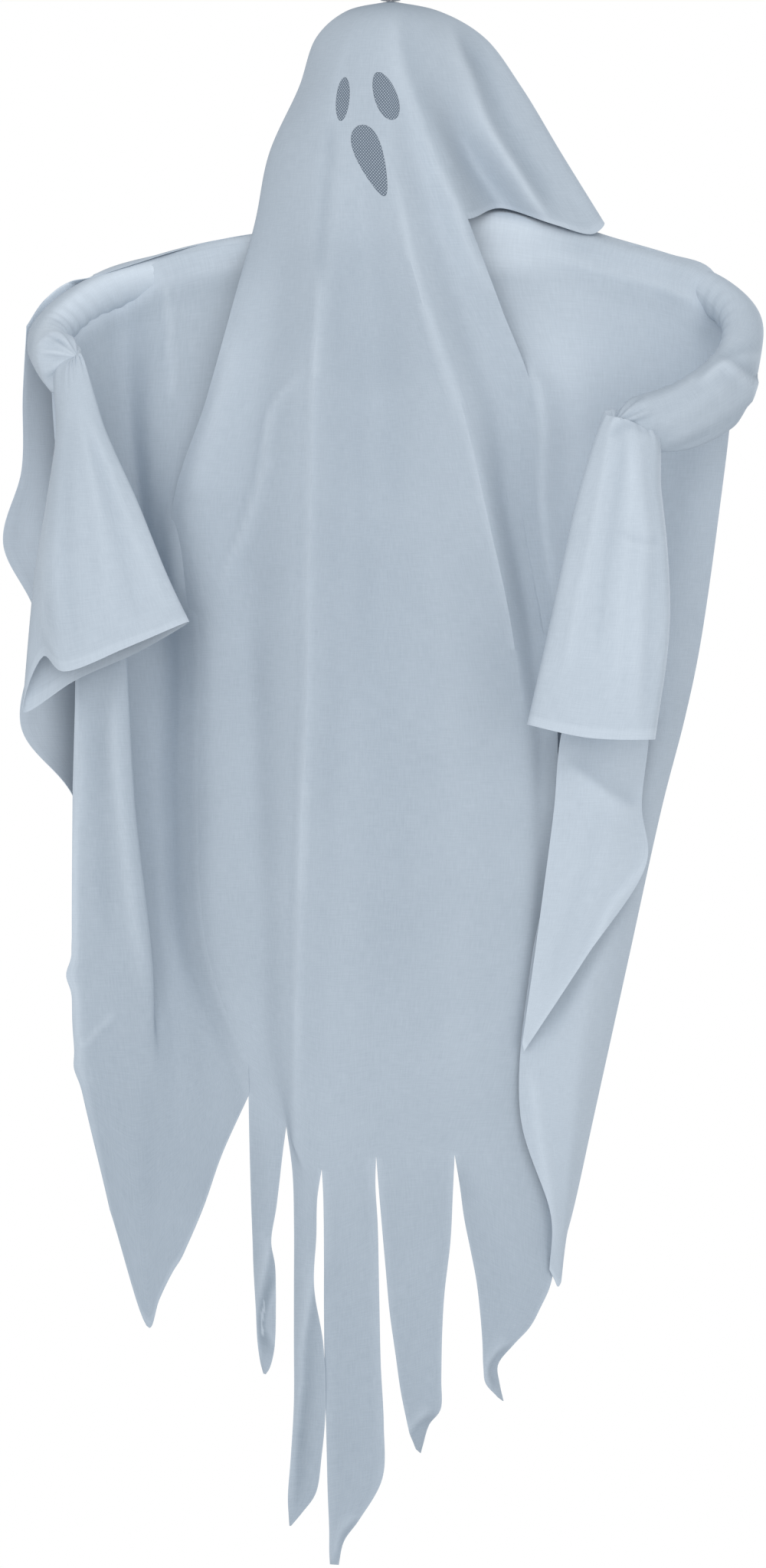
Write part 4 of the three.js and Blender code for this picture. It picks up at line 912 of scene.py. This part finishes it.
def over_sleeve(name, x, degrees, lift):
    """A place on the upper sleeve at x, so many degrees from its top towards the front."""
    fine, along, elbow = walks[name]
    side = ARM_PATHS[name][0]
    upper = along < elbow
    distance = np.interp(side * x, side * fine[upper, 0], along[upper])
    middle, out, up = [part[0] for part in arm_frames(walks[name], [distance])[:3]]
    turned = math.radians(degrees)
    return middle + (SLEEVE_RADIUS + lift) * (up * math.cos(turned) + out * side * math.sin(turned))


def draped(lines, angles, lifts):
    """Fold lines whose tops are taken over a sleeve at these angles, each so far off it. A line
    with None for its lifts starts beside the sleeve."""
    runs = []
    for line, off in zip(lines, lifts):
        top = line[0]
        name = "left" if top[0] < 0 else "right"
        start = [top + (0, 0, rise) for rise in (4.0, 2.0, 0)]
        if off:
            start = [over_sleeve(name, top[0], angle, lift) for angle, lift in zip(angles, off)]
        runs.append(np.concatenate([start, line[1:]]))
    return np.array(runs)


def woven(lines, closed=False):
    """A grid of places on the sheet that passes through its fold lines."""
    rows = spline(lines.swapaxes(0, 1), marks(lines.swapaxes(0, 1))).swapaxes(0, 1)
    return spline(rows, marks(rows, closed), closed).swapaxes(0, 1)


def clear_sleeves(places):
    """Moves what would lie inside an upper sleeve, or inside the hub between them, out over it."""
    for index in np.ndindex(places.shape[:2]):
        x = abs(places[index][0])
        if x < SHOULDER_END:
            middle = walks["left" if places[index][0] < 0 else "right"][0]
            lift = np.interp(index[0], (0, 6), BACK_LIFT[:2]) + HUB_LIFT * ramp(x, 45, 30)
            reach = SLEEVE_RADIUS + lift
            offsets = places[index] - middle
            nearest = np.linalg.norm(offsets, axis=1).argmin()
            away = np.linalg.norm(offsets[nearest])
            if away < reach:
                places[index] = middle[nearest] + offsets[nearest] * reach / away


def fullness(places, pale):
    """Lays the back panel in long upright folds that deepen towards the hem. Beside the right front
    it lies flat. Painted shade darkens the hollows of the folds and a painted highlight their
    ridges, the flat part too."""
    x, z = places[..., 0], places[..., 2]
    drop = ramp(z, -330, -1030)
    sway = 14 * np.sin(z / 260)
    folds = np.sin((x + sway) / 20) + 0.6 * np.sin((x - 0.6 * sway) / 11.5 + 1)
    folds += 0.35 * np.sin(z / 170 + x / 60)
    flat_side = np.clip(np.arange(places.shape[1], 0, -1) / 16, 0.1, 1)
    places[..., 1] += BACK_FOLD_DEPTH * folds * (0.12 + drop) * flat_side
    pale -= 0.05 * folds * (0.2 + drop)


back_lifts = [None] * 3 + [BACK_LIFT] * 5 + [None]
back_grid = woven(draped(fold_lines(BACK_LEVELS, BACK_LINES), BACK_ANGLES, back_lifts))
clear_sleeves(back_grid[:SHOULDER_ROWS])
back_pale = BACK_TONE + FLAP_LIGHT * ramp(-back_grid[..., 0], 330, 390)
fullness(back_grid, back_pale)
for side in ("foot", "left", "right"):
    hem(back_pale, side)
fading = ramp(np.arange(SHOULDER_ROWS), SHOULDER_ROWS, 4)[:, None]
leftwards = ramp(-back_grid[:SHOULDER_ROWS, :, 0], 60, 120)
back_pale[:SHOULDER_ROWS] += fading * (SHOULDERS_LIGHT + LEFT_SHOULDER_LIGHT * leftwards)
hang("robe_back", [(back_grid, False, False, back_pale)], "ghost",
     flat=(0.90, 1.14), held="hung", rests_on=["left_sleeve", "right_sleeve"], area=0.85)

# Left front of the robe
# The left front is drawn over the shoulder and stitched along the sleeve. Further out it hangs
# from under the arm, so that a hollow shows the back panel's inside, and it ends in one point.
LEFT_ANGLES = (56, 80, 106)
RESTING = (2.8, 2.8, 2.8)       # off the sleeve, where a front lies on it
LEFT_TONE = 0.40
LEFT_FADE = 0.16                # what it loses downwards
LEFT_WAVES = (2.0, 3, -400)
LEFT_GLOW = 0.24                # what it gains on the sleeve
LEFT_LEVELS = [-194, -334, -471, -649, -839, -935]
LEFT_LINES = [
    [(-141, -8, -7), (-152, -56), (-170, -68), (-165, -62), (-165, -60), (-165, -70), (-165, -74),
        (-164, -75, -985)],
    [(-214, -8, -21), (-219, -46), (-250, -60), (-236, -44), (-238, -44), (-224, -57), (-210, -64),
        (-196, -68, -1056)],
    [(-272, -8, -35), (-277, -34), (-272, -36), (-254, -20), (-255, -24), (-246, -44), (-232, -58),
        (-217, -64, -1116)],
    [(-314, -14, -51), (-306, -14), (-291, -12), (-278, -14), (-274, -18), (-262, -42), (-249, -57),
        (-236, -62, -1161)],
    [(-340, -30, -66), (-330, -34), (-312, -28), (-305, -28), (-292, -32), (-271, -48), (-258, -60),
        (-244, -63, -1178)],
    [(-366, -50, -81), (-338, -48), (-322, -48), (-319, -50), (-306, -54), (-284, -60), (-268, -65),
        (-253, -64, -1192)],
    [(-378, -58, -107), (-352, -72), (-328, -84), (-308, -98), (-297, -100), (-276, -84), (-276, -71),
        (-269, -66, -1225)],
    [(-388, -58, -107), (-372, -74), (-352, -88), (-338, -102), (-332, -104), (-319, -92), (-306, -79),
        (-280, -68, -1257)],
    [(-396, -54, -105), (-392, -72), (-380, -82), (-366, -96), (-368, -98), (-369, -86), (-366, -81),
        (-326, -72, -1119)],
]
LEFT_FOLDS = [
    ("crest", 6, 4.0, 0.14, [(209, 350), (217, 380), (222, 450), (222, 530)]),
    ("crest", 8, 4.0, 0.16, [(103, 900), (104, 1000), (98, 1120), (97, 1240), (104, 1360), (120, 1440)]),
    ("crest", 9, 4.0, 0.14, [(148, 880), (150, 980), (160, 1080), (170, 1170), (190, 1300)]),
    ("trough", 12, 4.0, -0.10, [(125, 900), (128, 1000), (132, 1120), (140, 1240)]),
    ("trough", 26, 3.0, 0.06, [(196, 560), (198, 760), (200, 950), (214, 1150), (236, 1350)]),
    ("crest", 5, 3.0, 0.14, [(150, 1322), (128, 1344), (106, 1369)]),
]
LEFT_POINTS = [(-1158, 7), (-1266, 4)]      # of its outer edge: height, and how far it stands out


def glow(places, pale, name, light):
    """Cloth that lies on the padded sleeve is painted paler, partly for its doubled layers and partly
    as a painted highlight, and a painted shadow darkens it just under the sleeve.
    """
    middle = walks[name][0][::10]
    away = np.min([np.linalg.norm(places - place, axis=-1) for place in middle], axis=0)
    off = np.clip(away - SLEEVE_RADIUS, 0, None)
    pale += light * near(off, 0, 7) - 0.05 * near(off, 20, 10)


def meet_veil(places, pale, edge, top, foot):
    """Lays a cloth over the veil's first or last column, and further in through and behind it,
    where the photograph shows the two as one. That is between two heights."""
    heights = veil_grid[:, edge, 2]
    inwards = 1 if edge == 0 else -1
    for index in np.ndindex(places.shape[:2]):
        x, y, z = places[index]
        row = veil_grid[int(np.interp(-z, -heights, np.arange(len(heights))) + 0.5)]
        inside = (x - row[edge, 0]) * inwards
        outside = min(0, inside)
        sure = ramp(z, top, top - 40) * ramp(z, foot, foot + 40)
        if sure > 0 and inside > -60:
            beside = row[edge + 3 * inwards]
            slope = (beside[1] - row[edge, 1]) / abs(beside[0] - row[edge, 0])
            close = np.interp(x, row[:, 0], row[:, 1]) + outside * slope
            close += np.interp(inside, (12, 26), (-1.2, 1.5))
            sure *= near(outside, 0, 20)
            places[index][1] = y * (1 - sure) + close * sure
            pale[index] += (veil_tone(z) - pale[index]) * ramp(inside, -8, 0)


left_lifts = [RESTING] * 3 + [None] * 6
left_grid = woven(draped(fold_lines(LEFT_LEVELS, LEFT_LINES), LEFT_ANGLES, left_lifts))
left_pale = LEFT_TONE - LEFT_FADE * ramp(left_grid[..., 2], -800, -1400)
ruffle(left_grid, *LEFT_WAVES)
fold(left_grid, left_pale, LEFT_FOLDS)
glow(left_grid, left_pale, "left", LEFT_GLOW)
hem(left_pale)
hem(left_pale, "right")
meet_veil(left_grid, left_pale, 0, -700, -1320)
outer = left_grid[:, -5:]
for height, out in LEFT_POINTS:
    outer[..., 0] -= out * near(outer[..., 2], height, 15) * np.linspace(0, 1, 5)
hang("robe_left", [(left_grid, False, False, left_pale)], "ghost",
     flat=(0.36, 1.22), held="hung", rests_on=["left_sleeve"], area=0.30)

# Right front of the robe
# The right front covers the whole shoulder and falls towards the middle, where its long edge
# comes forward beside the veil. A turned-back length of it, the cascade, hangs over its edge.
RIGHT_ANGLES = (-4, 54, 104)
RIGHT_LIFTS = [(30, 36, 30), (26, 30, 24), (8, 9, 6), RESTING, RESTING, None]
RIGHT_TONE = 0.50
RIGHT_WAVES = (1.8, 5, -400)
RIGHT_GLOW = 0.07
CASCADE_TONE = 0.62
SHOULDER_LIGHT = 0.36           # painted light on the shoulder next to the head, where the hood's hem shades it
RIGHT_LIGHT = [
    # x and width, height and its reach, and painted light against the shade beside the veil and cascade
    (200, 45, -500, 130, 0.22),
    (176, 26, -1000, 130, 0.30),
]
RIGHT_LEVELS = [-174, -309, -469, -549, -649, -829, -1009, -1129]
RIGHT_LINES = [
    [(58, -10, -4), (138, -80), (152, -82), (180, -74), (188, -70), (200, -96), (163, -93), (150, -90),
        (186, -80), (184, -76, -1189)],
    [(150, -8, -11), (184, -72), (192, -79), (212, -71), (220, -66), (226, -78), (200, -84), (180, -86),
        (192, -77), (190, -72, -1201)],
    [(256, -10, -25), (252, -40), (250, -46), (262, -46), (262, -48), (256, -60), (222, -80), (200, -82),
        (198, -73), (194, -69, -1209)],
    [(318, -16, -39), (316, -26), (308, -28), (302, -32), (294, -36), (282, -46), (244, -64), (214, -76),
        (203, -68), (197, -66, -1205)],
    [(362, -30, -61), (364, -28), (350, -28), (334, -30), (324, -32), (304, -34), (264, -44), (228, -56),
        (207, -58), (198, -60, -1197)],
    [(398, -18, -81), (398, -16), (383, -14), (360, -12), (343, -12), (317, -14), (277, -22), (237, -34),
        (210, -44), (194, -46, -1184)],
]
RIGHT_FOLDS = [
    ("crest", 6, 3.0, 0.12, [(690, 470), (700, 520), (701, 600), (710, 700), (722, 790)]),
    ("crest", 9, 4.0, 0.10, [(700, 330), (780, 352), (870, 378), (940, 412)]),
    ("trough", 10, 4.0, -0.14, [(843, 1100), (812, 1168), (765, 1262), (715, 1340), (690, 1376)]),
    ("crest", 9, 3.0, 0.12, [(690, 1385), (702, 1470), (716, 1560), (726, 1640)]),
    ("crest", 14, 3.0, 0.06, [(880, 700), (860, 900), (820, 1100), (770, 1300), (740, 1480)]),
]
CASCADE_LEVELS = [-574, -652, -715, -826]
CASCADE_LINES = [
    [(212, -60, -529), (196, -103), (189, -104), (181, -105), (166, -104), (152, -102, -925)],
    [(255, -38, -527), (244, -102), (240, -108), (236, -108), (196, -105), (153, -102, -930)],
    [(300, -34, -527), (299, -74), (291, -72), (297, -72), (226, -96), (154, -102, -935)],
]
CASCADE_FOLDS = [
    ("pleat", 6, 5.0, 0.12, [(738, 990), (779, 1019), (824, 1050), (838, 1054)]),
    ("crest", 6, 3.0, 0.12, [(852, 1096), (845, 1126), (800, 1184), (770, 1246), (690, 1366)]),
    ("trough", 12, 3.0, -0.06, [(790, 1040), (770, 1120), (740, 1220), (705, 1310)]),
]

right_grid = woven(draped(fold_lines(RIGHT_LEVELS, RIGHT_LINES), RIGHT_ANGLES, RIGHT_LIFTS))
right_pale = np.full(right_grid.shape[:2], RIGHT_TONE)
ruffle(right_grid, *RIGHT_WAVES)
fold(right_grid, right_pale, RIGHT_FOLDS)
glow(right_grid, right_pale, "right", RIGHT_GLOW)
right_x, right_z = right_grid[..., 0], right_grid[..., 2]
right_pale += SHOULDER_LIGHT * ramp(right_z, -350, -325) * ramp(right_x, 220, 150)
for across, width, height, reach, light in RIGHT_LIGHT:
    right_pale += light * near(right_x, across, width) * near(right_z, height, reach)
hem(right_pale)
meet_veil(right_grid, right_pale, -1, -430, -800)
hang("robe_right", [(right_grid, False, False, right_pale)], "ghost",
     flat=(0.28, 1.21), held="hung", rests_on=["right_sleeve"], area=0.236)

cascade_grid = woven(fold_lines(CASCADE_LEVELS, CASCADE_LINES))
cascade_pale = np.full(cascade_grid.shape[:2], CASCADE_TONE)
fold(cascade_grid, cascade_pale, CASCADE_FOLDS)
hem(cascade_pale)
hang("right_cascade", [(cascade_grid, False, False, cascade_pale)], "ghost",
     flat=(0.15, 0.42), held="hung", rests_on=["robe_right_cloth"], area=0.039)

# Cuffs
# A bell of doubled gauze is stitched round each gathered wrist. Its seam is at the back, its hem
# turned once, and it hangs open at the bottom.
CUFFS = {
    "left": ([-219, -299, -389], [
        [(-356, -207, -133), (-328, -212), (-292, -214), (-255, -212), (-231, -206, -440)],
        [(-362, -210, -139), (-351, -222), (-333, -226), (-316, -226), (-300, -220, -469)],
        [(-370, -208, -145), (-372, -216), (-377, -220), (-384, -220), (-375, -214, -497)],
        [(-382, -196, -143), (-382, -200), (-391, -198), (-401, -194), (-398, -188, -479)],
        [(-384, -186, -136), (-380, -176), (-392, -168), (-408, -162), (-422, -155, -543)],
        [(-374, -182, -129), (-355, -172), (-350, -164), (-355, -158), (-364, -152, -507)],
        [(-364, -190, -127), (-335, -186), (-312, -180), (-296, -176), (-290, -170, -474)],
    ], 0.52),
    "right": ([-289, -359, -449], [
        [(248, -222, -204), (217, -222), (201, -222), (182, -222), (157, -216, -558)],
        [(272, -232, -211), (262, -238), (256, -242), (250, -242), (225, -234, -573)],
        [(297, -222, -221), (303, -226), (312, -226), (315, -224), (298, -216, -575)],
        [(300, -200, -209), (306, -190), (310, -186), (310, -184), (296, -178, -573)],
        [(272, -196, -201), (262, -182), (256, -178), (250, -177), (228, -175, -573)],
        [(250, -204, -197), (226, -188), (212, -184), (195, -182), (172, -180, -561)],
    ], 0.58),
}
CUFF_FOLDS = {
    "left": [
        ("crest", 6, 4.0, 0.10, [(70, 545), (60, 640), (55, 740), (57, 817), (84, 878)]),
        ("crest", 10, 4.0, 0.06, [(104, 520), (120, 620), (135, 720), (150, 830)]),
        ("trough", 10, 3.0, -0.07, [(88, 540), (86, 640), (88, 760), (100, 850)]),
        ("crest", 6, 2.5, 0.07, [(112, 530), (150, 630), (184, 720), (222, 806)]),
        ("trough", 6, 2.5, -0.07, [(106, 540), (134, 630), (160, 720), (180, 820)]),
    ],
    "right": [
        ("pleat", 6, 3.0, 0.10, [(838, 548), (842, 640), (848, 700), (842, 800), (836, 960)]),
        ("crest", 6, 3.0, 0.08, [(800, 546), (792, 590), (776, 680), (752, 800), (734, 900)]),
        ("trough", 6, 2.5, -0.10, [(814, 548), (810, 600), (800, 680), (786, 780), (780, 860)]),
        ("crest", 7, 2.5, 0.07, [(824, 560), (824, 640), (816, 740), (806, 860), (800, 950)]),
        ("trough", 6, 1.5, -0.06, [(800, 692), (822, 701), (842, 706), (866, 706)]),
        ("crest", 6, 1.5, 0.04, [(806, 704), (826, 712), (846, 716), (868, 716)]),
        ("crest", 5, 2.0, 0.08, [(790, 560), (806, 546), (826, 544), (846, 552)]),
        ("trough", 5, 3.0, -0.12, [(796, 572), (812, 558), (830, 556), (848, 566)]),
    ],
}
CUFF_FLAT = {"left": (0.26, 0.41), "right": (0.30, 0.38)}
CUFF_GATHERS = 13
GATHER_SHARE = 0.07     # of the cuff's width, at their deepest
GATHER_AT = (22, 26)    # how far down they are deepest, and the width of that band
CUFF_TOP = 0.12         # its width at the sleeve's mouth, as a share of that where its lines start


def bell(name, levels, lines):
    """A cuff's grid, from its small gathered top at the sleeve's mouth down."""
    wrist = np.array(MOUTH_AT[name])
    runs = fold_lines(levels, lines)
    top = wrist + CUFF_TOP * (runs[:, :1] - wrist) + (0, 0, 2)
    grid = woven(np.concatenate([top, runs], axis=1), closed=True)
    ring = grid.mean(axis=1, keepdims=True)
    fallen = np.arange(len(grid))[:, None, None] * CLOTH_STEP
    gathers = np.sin(CUFF_GATHERS * turn(grid.shape[1]) + 0.8)[None, :, None]
    grid = ring + (grid - ring) * (1 + GATHER_SHARE * gathers * near(fallen, *GATHER_AT))
    x, z = grid[..., 0], grid[..., 2]
    grid[..., 1] += 1.2 * np.sin(x / 13 + z / 60) * np.sin(z / 47)
    return grid


for name, (levels, lines, tone) in CUFFS.items():
    cuff_grid = bell(name, levels, lines)
    cuff_pale = np.full(cuff_grid.shape[:2], tone)
    facing = cuff_grid[..., 1] < cuff_grid[..., 1].mean(axis=1, keepdims=True)
    folded = cuff_grid.copy()
    fold(folded, cuff_pale, CUFF_FOLDS[name])
    cuff_grid[facing] = folded[facing]
    hem(cuff_pale, rows=3, light=0.1)
    hang(name + "_cuff", [(cuff_grid, False, True, cuff_pale)], name + "_forearm",
         flat=CUFF_FLAT[name], held="gathered", rests_on=[name + "_sleeve"])
